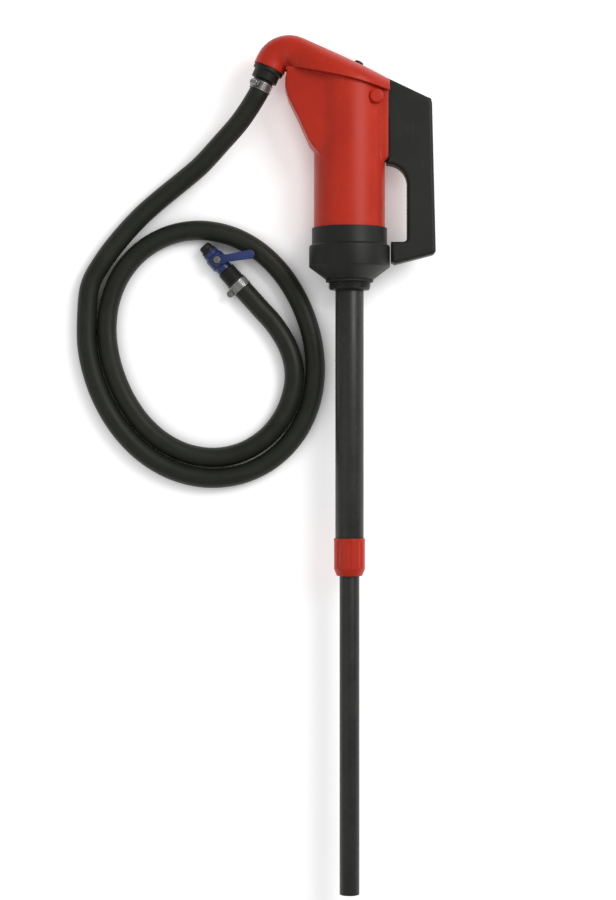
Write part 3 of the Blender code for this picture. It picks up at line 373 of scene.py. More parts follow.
def cut(shape, point, normal, clear=False):
    """Splits the shape along a plane, and clears what lies on the normal's side if asked."""
    bmesh.ops.bisect_plane(
        shape, geom=[*shape.verts, *shape.edges, *shape.faces], dist=1e-7, plane_co=point, plane_no=normal,
        clear_outer=clear,
    )


def take_out(shape, test):
    """Deletes the faces whose middle passes the test."""
    gone = [f for f in shape.faces if test(f.calc_center_median())]
    bmesh.ops.delete(shape, geom=gone, context="FACES")


def piece(name, shape, body, nodes, slot, sharp=32.0, doubles=1e-6):
    """Sets a shape down in the shared frame as a piece that rides on a body, in place of CAD nodes."""
    bmesh.ops.remove_doubles(shape, verts=shape.verts, dist=doubles)
    bmesh.ops.translate(shape, verts=shape.verts, vec=DATUM)
    mesh = bpy.data.meshes.new(name)
    shape.to_mesh(mesh)
    shape.free()
    mesh.shade_smooth()
    mesh.set_sharp_from_angle(angle=math.radians(sharp))
    mesh.materials.append(FINISHES[slot])
    made = bpy.data.objects.new(name, mesh)
    bpy.context.scene.collection.objects.link(made)
    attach(made, body)
    if nodes:
        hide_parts(*nodes)
    return made


def wall(made, thickness, edge, even=True):
    """Gives a skin its wall, inwards, and eases the wall's rims."""
    shell = made.modifiers.new("wall", "SOLIDIFY")
    shell.thickness = thickness
    shell.offset = -1.0
    shell.use_even_offset = even
    eased = made.modifiers.new("eased_rims", "BEVEL")
    eased.width = edge
    eased.segments = 2
    eased.limit_method = "ANGLE"
    eased.angle_limit = math.radians(50.0)


# The hose: its route, and the pieces on it
SPOUT_MOUTH = Vector((-0.1135, 0.281, 0.0))
SPOUT_TILT = math.radians(24.0)
SPOUT_ALONG = Vector((-math.sin(SPOUT_TILT), -math.cos(SPOUT_TILT), 0))
ADAPTER_LENGTH = 0.018
HOSE_RADIUS = 0.014
HOSE_STRAIGHT = 0.022
HOSE_FLOOR = HOSE_RADIUS - AXIS_HEIGHT
CLAMP_WIDTH = 0.012
CLAMP_BAND = 0.0012
CLAMP_BACK = 0.010  # from the hose's end back to the middle of its clamp
COIL_CENTRE = Vector((-0.2045, -0.1123))
COIL_START_RADIUS = 0.182
COIL_PITCH = 0.030
COIL_OVAL = 0.0143
COIL_OVAL_AT = math.radians(108.9)
COIL_FROM = math.radians(164.0)
COIL_TO = math.radians(696.0)
COIL_POINTS_A_TURN = 24
NOZZLE_END = Vector((-0.1627, -0.0143))
NOZZLE_HEADING = math.radians(132.0)
# The stretches that aren't coiled, listed as x, y and the height above the floor
LEAD_ROUTE = (
    (-0.154, 0.209, 0.0335),
    (-0.1826, 0.178, 0.0230),
    (-0.211, 0.149, 0.0120),
    (-0.239, 0.1265, 0.0040),
    (-0.2675, 0.104, 0.0006),
    (-0.296, 0.079, 0.0),
    (-0.326, 0.0465, 0.0),
    (-0.3525, 0.0115, 0.0),
    (-0.3700, -0.0215, 0.0),
)
TAIL_ROUTE = (
    (-0.0790, -0.1370, 0.0),
    (-0.0885, -0.1060, 0.0),
    (-0.1065, -0.0770, 0.0),
    (-0.1270, -0.0540, 0.0006),
)


def mouth_point(t):
    """A point this far out of the spout's mouth."""
    return SPOUT_MOUTH + t * SPOUT_ALONG


def nozzle_point(u):
    """A point this far past the hose's end, along the nozzle."""
    flat = NOZZLE_END + u * Vector((math.cos(NOZZLE_HEADING), math.sin(NOZZLE_HEADING)))
    return Vector((flat.x, flat.y, HOSE_FLOOR + GAP + CLAMP_BAND))


def coil_point(angle):
    turns = (angle - COIL_FROM) / math.tau
    radius = COIL_START_RADIUS - COIL_PITCH * turns + COIL_OVAL * math.cos(2 * (angle - COIL_OVAL_AT))
    return Vector((
        COIL_CENTRE.x + radius * math.cos(angle), COIL_CENTRE.y + radius * math.sin(angle), HOSE_FLOOR,
    ))


def smooth_route(points, step):
    """Points a step apart on a smooth curve through these points."""
    found = between(points, 40)
    kept, run = [found[0]], 0.0
    for a, b in zip(found, found[1:]):
        run += (b - a).length
        if run >= step:
            kept.append(b)
            run = 0.0
    if (kept[-1] - found[-1]).length < step / 2:
        kept.pop()
    return kept + [found[-1]]


def hose_route():
    start = ADAPTER_LENGTH + GAP
    points = [mouth_point(start), mouth_point(start + HOSE_STRAIGHT)]
    points += [Vector((x, y, HOSE_FLOOR + z)) for x, y, z in LEAD_ROUTE]
    count = round((COIL_TO - COIL_FROM) / math.tau * COIL_POINTS_A_TURN)
    points += [coil_point(COIL_FROM + (COIL_TO - COIL_FROM) * i / count) for i in range(count + 1)]
    points += [Vector((x, y, HOSE_FLOOR + z)) for x, y, z in TAIL_ROUTE]
    points += [nozzle_point(-HOSE_STRAIGHT), nozzle_point(0.0)]
    return smooth_route(points, 0.006)


def delivery_hose():
    curve = bpy.data.curves.new("rubber_hose", "CURVE")
    curve.dimensions = "3D"
    curve.bevel_depth = HOSE_RADIUS
    curve.bevel_resolution = 8
    curve.use_fill_caps = True
    route = hose_route()
    line = curve.splines.new("POLY")
    line.points.add(len(route) - 1)
    for point, place in zip(line.points, route):
        point.co = (*(place + DATUM), 1)
    line.use_smooth = True
    curve.materials.append(FINISHES["hose_rubber"])
    hose = bpy.data.objects.new("rubber_hose", curve)
    bpy.context.scene.collection.objects.link(hose)
    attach(hose, "pump")
    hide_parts("delivery_hose")
    return hose


hose = delivery_hose()


def hose_clamp(name, place, turn):
    """A worm-drive band with its slots, its screw's housing and the screw."""
    inner = HOSE_RADIUS + GAP
    outer = inner + CLAMP_BAND
    half = CLAMP_WIDTH / 2
    place = place @ Matrix.Rotation(turn, 4, "Z")
    lip = 0.0013
    facets = 96
    profile = [
        (inner, -half), (outer, -half), (outer, -half + lip), (outer - 0.0003, -half + lip + 0.0003),
        (outer - 0.0003, half - lip - 0.0003), (outer, half - lip), (outer, half), (inner, half),
    ]
    band = spun(profile, Matrix.Identity(4), facets)
    slots = []
    for face in band.faces:
        middle = face.calc_center_median()
        away = math.hypot(middle.x, middle.y)
        step = round(math.atan2(middle.y, middle.x) / math.tau * facets - 0.5)
        if abs(middle.z) < half * 0.5 and away > outer - 0.0006 and step % 3 and face.calc_area() > 1e-6:
            slots.append(face)
    bmesh.ops.inset_individual(band, faces=slots, thickness=0.0003, depth=-0.0004)
    bmesh.ops.transform(band, matrix=place, verts=band.verts)
    across = place @ Matrix.Translation((outer + 0.0029, 0, 0)) @ Matrix.Rotation(math.pi / 2, 4, "X")
    barrel = rounded([(0, 0.0055), (0.0047, 0.0055), (0.0047, -0.0055), (0, -0.0055)], 0.0008)
    spun(barrel, across, 32, band)
    fixed = piece(f"{name}_band", band, "pump", [f"{name}_clamp"], "zinc_steel")
    head = [(0, 0.009), (0.0034, 0.009), (0.0034, 0.0058), (0.0025, 0.0058), (0.0025, 0.0040), (0, 0.0040)]
    screw = spun(rounded(head, 0.0004), across, 6)
    tip = [(0, -0.0052), (0.0025, -0.0052), (0.0025, -0.007), (0, -0.007)]
    spun(rounded(tip, 0.0003), across, 24, screw)
    worm = piece(f"{name}_worm_screw", screw, "pump", [f"{name}_clamp_screw"], "zinc_steel", 25.0)
    return fixed, worm


NOZZLE_ALONG = Vector((math.cos(NOZZLE_HEADING), math.sin(NOZZLE_HEADING), 0))
spout_band = hose_clamp(
    "spout", frame_at(mouth_point(ADAPTER_LENGTH + CLAMP_BACK), SPOUT_ALONG), math.radians(120),
)
nozzle_band = hose_clamp("nozzle", frame_at(nozzle_point(-CLAMP_BACK), NOZZLE_ALONG), 0.0)


# The nozzle on the hose's far end
TAIL_RADIUS = 0.0135
TAIL_LENGTH = 0.020
VALVE_RADIUS = 0.0135
VALVE_HALF = 0.017
VALVE_AT = TAIL_LENGTH + GAP + VALVE_HALF
NOZZLE_BORE = 0.006
LEVER_RISE = 0.0175  # the valve lever's underside above the nozzle's axis
LEVER_THICK = 0.003
VALVE_LEVER_HEADING = math.radians(9.8)
VALVE_LEVER_LENGTH = 0.054
VALVE_LEVER_HALF_WIDTH = 0.0065


def nozzle_tail():
    profile = [(NOZZLE_BORE, GAP), (TAIL_RADIUS - 0.001, GAP)]
    ribs = 5
    pitch = (TAIL_LENGTH - 0.004) / ribs
    for i in range(ribs):
        low = 0.002 + i * pitch
        groove = (TAIL_RADIUS - 0.0009, low + pitch * 0.8)
        profile += [(TAIL_RADIUS, low), (TAIL_RADIUS, low + pitch * 0.6), groove]
    profile += [(TAIL_RADIUS, TAIL_LENGTH - 0.001), (TAIL_RADIUS - 0.001, TAIL_LENGTH)]
    profile.append((NOZZLE_BORE, TAIL_LENGTH))
    tail = spun(rounded(profile, 0.0004, 2), frame_at(nozzle_point(0), NOZZLE_ALONG), 64)
    return piece("nozzle_grip_sleeve", tail, "pump", ["nozzle_tail"], "black_plastic")


def ball_valve():
    neck = VALVE_RADIUS - 0.002
    reach = VALVE_HALF * 0.6
    profile = [
        (NOZZLE_BORE, VALVE_HALF), (neck, VALVE_HALF), (neck, reach), (VALVE_RADIUS, reach - 0.002),
        (VALVE_RADIUS, -reach + 0.002), (neck, -reach), (neck, -VALVE_HALF), (NOZZLE_BORE, -VALVE_HALF),
    ]
    case = spun(rounded(profile, 0.0008), frame_at(nozzle_point(VALVE_AT), NOZZLE_ALONG), 64)
    up = frame_at(nozzle_point(VALVE_AT), (0, 0, 1))
    boss_top = LEVER_RISE - 0.0015
    boss = [(0.0043, boss_top), (0.0070, boss_top), (0.0076, 0.0080), (0.0043, 0.0080)]
    spun(rounded(boss, 0.0005), up, 32, case)
    piece("valve_case", case, "pump", ["valve_body"], "blue_plastic")
    stem = [
        (0, LEVER_RISE + LEVER_THICK + 0.004), (0.0025, LEVER_RISE + LEVER_THICK + 0.004),
        (0.0025, LEVER_RISE - 0.0005), (0.004, LEVER_RISE - 0.0005), (0.004, 0.0076), (0, 0.0076),
    ]
    piece("valve_spindle", spun(rounded(stem, 0.0004), up, 32), "valve", ["valve_stem"], "brass")
    low, high = LEVER_RISE + LEVER_THICK + GAP, LEVER_RISE + LEVER_THICK + 0.0032
    nut = spun(rounded([(0.0028, high), (0.0052, high), (0.0052, low), (0.0028, low)], 0.0003), up, 6)
    piece("spindle_nut", nut, "valve", ["valve_lever_nut"], "zinc_steel", 25.0)


def valve_lever():
    half = VALVE_LEVER_HALF_WIDTH
    tip = VALVE_LEVER_LENGTH - half
    outline = arc((0, 0), half + 0.0015, 60, 300, 24) + [(0.010, -half - 0.0002), (0.015, -half + 0.0012)]
    outline += arc((tip, 0), half, -90, 90, 20) + [(0.015, half - 0.0012), (0.010, half + 0.0002)]
    shape = plate(outline, LEVER_RISE, LEVER_RISE + LEVER_THICK, 0.0009)
    bmesh.ops.transform(
        shape,
        matrix=Matrix.Translation(nozzle_point(VALVE_AT)) @ Matrix.Rotation(VALVE_LEVER_HEADING, 4, "Z"),
        verts=shape.verts,
    )
    return piece("valve_lever_plate", shape, "valve", ["valve_lever"], "blue_plastic")


def outlet_spout():
    neck, tip, length = VALVE_RADIUS - 0.003, 0.009, 0.012
    profile = [
        (NOZZLE_BORE, length), (tip - 0.0012, length), (tip, length - 0.003), (tip, 0.0042), (neck, 0.0036),
        (neck, 0), (NOZZLE_BORE, 0),
    ]
    place = frame_at(nozzle_point(VALVE_AT + VALVE_HALF + GAP), NOZZLE_ALONG)
    shape = spun(rounded(profile, 0.0006), place, 64)
    return piece("nozzle_outlet", shape, "pump", ["outlet_spout"], "black_plastic")


nozzle_tail()
ball_valve()
valve_lever()
outlet_spout()


# The hood and its spout
SEAM_HEIGHT = 0.2595
SEAM_SLOPE = math.radians(13.7)
RIDGE_HEIGHT = 0.2918
RIDGE_SLOPE = math.radians(25.4)
HOOD_WALL = 0.004
HOOD_RADIUS = BODY_RADIUS + 0.0075
HOOD_DEPTH = 0.034
HOOD_REAR = BODY_RADIUS + 0.006
HOOD_POINTS = 96
HOOD_SQUARENESS = 2.6  # 2 is an ellipse
HOOD_TAPER = 0.068  # the length in which its depth falls to the spout's
LIP_X = -0.087
LIP_LEAN = 0.0045
LIP_DROP = 0.0188
LIP_OUT = Vector((-LIP_DROP, LIP_LEAN, 0)).normalized()
SPOUT_RADIUS = 0.0225
SPOUT_BEND = 0.025
SPOUT_BEND_HALF_WIDTH = 0.030
SLOT_HALF_WIDTH = 0.018
SLOT_START = 0.026
ROD_ROOM_X = -0.014  # the hood's floor is open from here back, for the rod's eye and the lever's hub
# x along the hood, and its half width there as a share of HOOD_RADIUS
HOOD_WIDTHS = (
    (0.078, 0.39), (0.060, 0.60), (0.044, 0.825), (0.028, 0.965), (0.0146, 1.0), (-0.004, 0.974),
    (-0.024, 0.877), (-0.048, 0.70),
)
UP_THE_SEAM = Vector((math.sin(SEAM_SLOPE), math.cos(SEAM_SLOPE), 0))
UP_THE_RIDGE = Vector((math.sin(RIDGE_SLOPE), math.cos(RIDGE_SLOPE), 0))


def seam_at(x):
    return SEAM_HEIGHT - x * math.tan(SEAM_SLOPE)


def ridge_at(x):
    return RIDGE_HEIGHT - x * math.tan(RIDGE_SLOPE)


def hood_stations():
    """(x, y, heading, half depth, half width, roundness) from behind the lever slot to the spout's mouth."""
    along = Vector((-math.cos(RIDGE_SLOPE), math.sin(RIDGE_SLOPE), 0))
    heading = math.atan2(along.y, along.x)
    turn = math.atan2(SPOUT_ALONG.y, SPOUT_ALONG.x) % math.tau - heading
    depth_at_bend = SPOUT_RADIUS + 0.0015
    start = Vector((0, RIDGE_HEIGHT, 0)) - UP_THE_RIDGE * depth_at_bend
    step = start - SPOUT_MOUTH
    run = step.xy.cross(SPOUT_ALONG.xy) / -along.xy.cross(SPOUT_ALONG.xy)
    bend_start = start + along * (run - SPOUT_BEND * math.tan(turn / 2))
    bend_centre = bend_start + SPOUT_BEND * Vector((-along.y, along.x, 0))
    rows = []
    for x, share in HOOD_WIDTHS:
        fade = min(1.0, max(0.0, -x / HOOD_TAPER))
        depth = HOOD_DEPTH + (depth_at_bend - HOOD_DEPTH) * fade * fade
        centre = Vector((x, ridge_at(x), 0)) - UP_THE_RIDGE * depth
        rows.append(Vector((centre.x, centre.y, heading, depth, HOOD_RADIUS * share, HOOD_SQUARENESS)))
    bends = 5
    for i in range(bends + 1):
        t = i / bends
        angle = heading + turn * t
        centre = bend_centre + SPOUT_BEND * Vector((math.sin(angle), -math.cos(angle), 0))
        depth = depth_at_bend + (SPOUT_RADIUS - depth_at_bend) * t
        width = SPOUT_BEND_HALF_WIDTH + (SPOUT_RADIUS - SPOUT_BEND_HALF_WIDTH) * math.sin(t * math.pi / 2)
        rows.append(Vector((centre.x, centre.y, angle, depth, width, HOOD_SQUARENESS - 0.6 * t)))
    rows.append(Vector((SPOUT_MOUTH.x, SPOUT_MOUTH.y, heading + turn, SPOUT_RADIUS, SPOUT_RADIUS, 2.0)))
    return rows


def signed_power(value, power):
    return math.copysign(abs(value) ** power, value)


def hood_skin(inside=0.0):
    """The hood's outside, or a skin that far inside it, bridged through its stations."""
    shape = bmesh.new()
    last = None
    for x, y, heading, depth, width, power in between(hood_stations(), 5):
        up = Vector((math.sin(heading), -math.cos(heading), 0))
        made = bmesh.ops.create_circle(shape, segments=HOOD_POINTS, radius=1.0)["verts"]
        for vertex in made:
            across = signed_power(vertex.co.x, 2 / power) * (width - inside)
            rise = signed_power(vertex.co.y, 2 / power) * (depth - inside)
            vertex.co = Vector((x, y, 0)) + up * rise + Vector((0, 0, across))
        loop = list({e for v in made for e in v.link_edges})
        if last:
            bmesh.ops.bridge_loops(shape, edges=last + loop)
            loop = [e for e in loop if e.is_valid]
        last = loop
    bmesh.ops.recalc_face_normals(shape, faces=shape.faces)
    return shape


def head_cover():
    shape = hood_skin()
    cut(shape, (HOOD_REAR, 0, 0), (1, 0, 0), clear=True)
    open_edges = [e for e in shape.edges if e.is_boundary]
    rear = [e for e in open_edges if all(abs(v.co.x - HOOD_REAR) < 1e-5 for v in e.verts)]
    filled = bmesh.ops.edgeloop_fill(shape, edges=rear)["faces"]
    rim = [e for f in filled for e in f.edges]
    bmesh.ops.bevel(
        shape, geom=rim, offset=0.003, offset_type="OFFSET", segments=4, profile=0.5, affect="EDGES",
        clamp_overlap=True, material=-1,
    )
    bmesh.ops.triangulate(shape, faces=[f for f in shape.faces if len(f.verts) > 4])
    if sum(f.normal.x for f in shape.faces if f.calc_center_median().x > HOOD_REAR - 1e-5) < 0:
        bmesh.ops.reverse_faces(shape, faces=shape.faces)
    lip = Vector((LIP_X, seam_at(LIP_X), 0))
    seam = lip + UP_THE_SEAM * GAP
    cut(shape, seam, -UP_THE_SEAM)
    cut(shape, lip, -LIP_OUT)
    take_out(shape, lambda p: (p - seam).dot(UP_THE_SEAM) < 0 and (p - lip).dot(LIP_OUT) < 0)
    for side in (-1, 1):
        cut(shape, (0, 0, side * SLOT_HALF_WIDTH), (0, 0, side))
    cut(shape, (SLOT_START, 0, 0), (1, 0, 0))
    take_out(shape, lambda p: abs(p.z) < SLOT_HALF_WIDTH and p.x > SLOT_START)
    bmesh.ops.dissolve_degenerate(shape, edges=shape.edges, dist=1e-5)
    made = piece("hood_and_spout", shape, "pump", ["head_cover"], "red_plastic", 35.0, 2e-5)
    wall(made, HOOD_WALL, 0.0006, even=False)
    return made


def hood_floor():
    """The web that closes the hood along its seam, round the body's top and the lever's slot."""
    skin = hood_skin(0.0028)
    cut(skin, (LIP_X + 0.002, 0, 0), (-1, 0, 0), clear=True)
    cut(skin, (HOOD_REAR - 0.002, 0, 0), (1, 0, 0), clear=True)
    level = Vector((0, seam_at(0), 0)) + UP_THE_SEAM * 0.0024
    cut(skin, level, UP_THE_SEAM, clear=True)
    near = [v.co.copy() for v in skin.verts if abs((v.co - level).dot(UP_THE_SEAM)) < 1e-6 and v.co.z > 1e-6]
    skin.free()
    near.sort(key=lambda p: p.x)
    far = [Vector((p.x, p.y, -p.z)) for p in reversed(near)]
    shape = bmesh.new()
    shape.faces.new([shape.verts.new(p) for p in near + far])
    bmesh.ops.recalc_face_normals(shape, faces=shape.faces)
    if next(iter(shape.faces)).normal.y < 0:
        bmesh.ops.reverse_faces(shape, faces=shape.faces)
    for side in (-1, 1):
        cut(shape, (0, 0, side * SLOT_HALF_WIDTH), (0, 0, side))
    cut(shape, (ROD_ROOM_X, 0, 0), (1, 0, 0))
    take_out(shape, lambda p: abs(p.z) < SLOT_HALF_WIDTH and p.x > ROD_ROOM_X)
    made = piece("hood_floor", shape, "pump", [], "red_plastic")
    wall(made, 0.0018, 0.0003)


VENT_X = 0.012


def vent_plug():
    profile = [
        (0, 0.0055), (0.0048, 0.0055), (0.0065, 0.0042), (0.0065, GAP), (0.0042, GAP), (0.0042, -0.007),
        (0, -0.007),
    ]
    place = frame_at((VENT_X, ridge_at(VENT_X), 0), UP_THE_RIDGE)
    shape = spun(rounded(profile, 0.0008), place, 48)
    return piece("vent_cap", shape, "pump", ["vent_plug"], "black_plastic")


def spout_adapter():
    place = frame_at(SPOUT_MOUTH, SPOUT_ALONG)
    plug = SPOUT_RADIUS - HOOD_WALL - GAP
    collar = SPOUT_RADIUS - 0.001
    profile = [
        (0.0095, ADAPTER_LENGTH), (0.0185, ADAPTER_LENGTH), (0.0185, 0.0062), (collar, 0.0056), (collar, GAP),
        (plug - 0.003, GAP), (plug - 0.003, -0.0045), (plug, -0.0045), (plug, -0.009), (0.0095, -0.009),
    ]
    shape = spun(rounded(profile, 0.0010), place, 96)
    return piece("hose_adapter", shape, "pump", ["spout_adapter"], "black_plastic")


head_cover()
hood_floor()
vent_plug()
spout_adapter()


# The body: a round cylinder with the web under its spout and two cheeks beside the lever
BODY_LOW = 0.0196
BODY_ROWS = 150
BODY_STEPS = 320
CHEEK_REACH = BODY_RADIUS + 0.004
CHEEK_LOW = 0.145
CHEEK_RISE = 0.010  # the height in which the cheeks rise from the body
CHEEK_HALF_WIDTH = 0.026
SILL = 0.2063
BODY_WALL = 0.0038
# The web's outer edge, as x and height
WEB_EDGE = (
    (-0.0365, 0.130), (-0.050, 0.160), (-0.059, 0.180), (-0.072, 0.209), (-0.086, 0.237), (-0.0905, 0.252),
    (-0.0895, 0.320),
)
WEB_ROOT = 0.032  # how far out the web is at its full width
WEB_RUN = 0.058  # from there to where it is WEB_TIP_HALF_WIDTH
WEB_FADE_TOP = 0.178
WEB_FADE_FOOT = 0.138
WEB_SUNK = 0.016
WEB_HALF_WIDTH = 0.038
WEB_TIP_HALF_WIDTH = 0.024
PIVOT = Vector((BODY_RADIUS - 0.013, 0.236, 0.0))
BOSS_RADIUS = 0.0095
BOSS_REACH = 0.0412
CAP_REACH = 0.0462  # the moulded caps over both ends of the lever's pin


def web_edge(y):
    for (x0, y0), (x1, y1) in zip(WEB_EDGE, WEB_EDGE[1:]):
        if y <= y1:
            t = max(0.0, (y - y0) / (y1 - y0))
            return x0 + (x1 - x0) * t
    return WEB_EDGE[-1][0]


def soft_max(a, b, ease):
    """The larger of two values, eased where they come within this much of each other."""
    h = max(ease - abs(a - b), 0.0) / ease
    return max(a, b) + h * h * ease / 4


def soft_min(a, b, ease):
    return -soft_max(-a, -b, ease)


def body_radius(angle, y):
    """How far out the body's wall stands at this angle round the axis and this height."""
    c, s = math.cos(angle), abs(math.sin(angle))
    radius = BODY_RADIUS
    if c < -0.3:
        slope = (WEB_HALF_WIDTH - WEB_TIP_HALF_WIDTH) / WEB_RUN
        flank = (WEB_HALF_WIDTH + WEB_ROOT * slope) / (s / -c + slope) / -c
        edge = web_edge(y) / c
        t = min(1.0, max(0.0, (WEB_FADE_TOP - y) / (WEB_FADE_TOP - WEB_FADE_FOOT)))
        sunk = WEB_SUNK * t * t * (3 - 2 * t)
        radius = soft_max(radius, soft_min(flank, edge, 0.005) - sunk, 0.004)
    if c > 0.3 and CHEEK_REACH * s / c > SLOT_HALF_WIDTH - 1e-6:
        cheek = min(CHEEK_REACH / c, CHEEK_HALF_WIDTH / max(s, 1e-6))
        if cheek > BODY_RADIUS:
            t = min(1.0, max(0.0, (y - CHEEK_LOW) / CHEEK_RISE))
            cheek = soft_min(CHEEK_REACH / c, CHEEK_HALF_WIDTH / s, 0.003)
            radius = max(radius, BODY_RADIUS + (cheek - BODY_RADIUS) * t * t * (3 - 2 * t))
    return radius


def pump_body():
    shape = bmesh.new()
    top = seam_at(-0.10) + 0.01
    heights = [BODY_LOW + (top - BODY_LOW) * i / BODY_ROWS for i in range(BODY_ROWS + 1)]
    line = [shape.verts.new((BODY_RADIUS, 0, h)) for h in heights]
    edges = [shape.edges.new(pair) for pair in zip(line, line[1:])]
    bmesh.ops.spin(
        shape, geom=[*line, *edges], cent=(0, 0, 0), axis=(0, 0, 1), angle=math.tau, steps=BODY_STEPS,
        use_merge=True,
    )
    bmesh.ops.remove_doubles(shape, verts=shape.verts, dist=1e-6)
    bmesh.ops.transform(shape, matrix=PUMP_AXIS, verts=shape.verts)
    for vertex in shape.verts:
        x, y, z = vertex.co
        out = body_radius(math.atan2(z, x), y) / math.hypot(x, z)
        vertex.co = (x * out, y, z * out)
    bmesh.ops.recalc_face_normals(shape, faces=shape.faces)
    middle = max(shape.faces, key=lambda f: f.calc_center_median().z)
    if middle.normal.z < 0:
        bmesh.ops.reverse_faces(shape, faces=shape.faces)
    cut(shape, (0, seam_at(0), 0), UP_THE_SEAM, clear=True)
    lip = Vector((LIP_X + 2 * GAP, seam_at(LIP_X), 0))
    cut(shape, lip, LIP_OUT, clear=True)
    rim = [v for v in shape.verts if abs((v.co - lip).dot(LIP_OUT)) < 1e-6]
    middle = sum((v.co for v in rim), Vector()) / len(rim)
    rim.sort(key=lambda v: math.atan2(v.co.y - middle.y, v.co.z - middle.z))
    closed = shape.faces.new(rim)
    closed.normal_update()
    if closed.normal.dot(LIP_OUT) < 0:
        closed.normal_flip()
    for side in (-1, 1):
        cut(shape, (0, 0, side * SLOT_HALF_WIDTH), (0, 0, side))
    cut(shape, (0, SILL, 0), (0, 1, 0))
    take_out(shape, lambda p: p.x > SLOT_START and abs(p.z) < SLOT_HALF_WIDTH and p.y > SILL)
    made = piece("cylinder_body", shape, "pump", ["pump_body"], "red_plastic", 32.0)
    wall(made, BODY_WALL, 0.0006)
    cap = [(0, CAP_REACH), (BOSS_RADIUS, CAP_REACH), (BOSS_RADIUS, 0.030), (0, 0.030)]
    for side, title in ((1, "near"), (-1, "far")):
        dome = spun(rounded(cap, 0.0022, 5), frame_at(PIVOT, (0, 0, side)), 64)
        piece(f"pivot_cap_{title}", dome, "pump", [], "red_plastic")


pump_body()


# The base collar and its drum thread
COLLAR_RADIUS = BODY_RADIUS + 0.007
COLLAR_DRUM = 0.031
COLLAR_TOP = 0.056
CUP_RADIUS = BODY_RADIUS + GAP
CUP_FLOOR = 0.016
CONE_HEIGHT = 0.017
CONE_FOOT = 0.0335
GASKET = 0.003
THREAD_RADIUS = 0.0298
THREAD_PITCH = 0.0023
TUBE_RADIUS = 0.020


def base_collar():
    shoulder = CUP_RADIUS + 0.0027
    core = THREAD_RADIUS - 0.0014
    foot = -COLLAR_FOOT
    socket = TUBE_RADIUS + GAP
    profile = [
        (CUP_RADIUS, CUP_FLOOR), (CUP_RADIUS, COLLAR_TOP), (shoulder, COLLAR_TOP),
        (shoulder, COLLAR_DRUM + 0.0015), (COLLAR_RADIUS - 0.0006, COLLAR_DRUM),
        (COLLAR_RADIUS, COLLAR_DRUM - 0.002), (COLLAR_RADIUS, 0.0012), (COLLAR_RADIUS - 0.0014, 0),
        (CONE_FOOT + 0.001, -CONE_HEIGHT + 0.0012), (CONE_FOOT, -CONE_HEIGHT), (core, -CONE_HEIGHT),
        (core, foot + 0.001), (core - 0.001, foot), (socket, foot), (socket, -0.0077), (0.0178, -0.0077),
        (0.0178, 0.004), (0.0225, 0.010), (0.0225, CUP_FLOOR),
    ]
    shape = spun(rounded(profile, 0.0012), PUMP_AXIS, 144)
    thread = bmesh.new()
    low = -CONE_HEIGHT - GASKET - 0.0012
    turns, steps = 3.4, 72
    root = core - 0.0004
    tooth = [(root, 0.0008), (THREAD_RADIUS, 0.0002), (THREAD_RADIUS, -0.0002), (root, -0.0008)]
    points = [thread.verts.new((r, 0, low + h)) for r, h in tooth]
    edges = [thread.edges.new(pair) for pair in zip(points, [*points[1:], points[0]])]
    bmesh.ops.spin(
        thread, geom=[*points, *edges], cent=(0, 0, 0), axis=(0, 0, 1), dvec=(0, 0, -THREAD_PITCH / steps),
        angle=math.tau * turns, steps=round(steps * turns), use_merge=False,
    )
    ends = [e for e in thread.edges if e.is_boundary]
    bmesh.ops.holes_fill(thread, edges=ends, sides=0)
    bmesh.ops.recalc_face_normals(thread, faces=thread.faces)
    bmesh.ops.transform(thread, matrix=PUMP_AXIS, verts=thread.verts)
    joined(shape, thread)
    return piece("drum_collar", shape, "pump", ["base_collar"], "black_plastic", 30.0)


def bung_gasket():
    low, high = -CONE_HEIGHT - GASKET, -CONE_HEIGHT - GAP
    profile = [(THREAD_RADIUS + GAP, high), (CONE_FOOT, high), (CONE_FOOT, low), (THREAD_RADIUS + GAP, low)]
    shape = spun(rounded(profile, 0.0006), PUMP_AXIS, 96)
    return piece("drum_gasket", shape, "pump", ["bung_gasket"], "seal_rubber")


base_collar()
bung_gasket()


# The suction tubes and the coupler between them
COUPLER_RADIUS = 0.022
COUPLER_TOP = -0.381
COUPLER_FOOT = -0.434
LOWER_TUBE_RADIUS = 0.014
FLUTES = 8


def tube(name, node, body, radius, thickness, low, high):
    profile = [(radius - thickness, high), (radius, high), (radius, low), (radius - thickness, low)]
    return piece(name, spun(rounded(profile, 0.0005, 2), PUMP_AXIS, 72), body, [node], "tube_plastic")


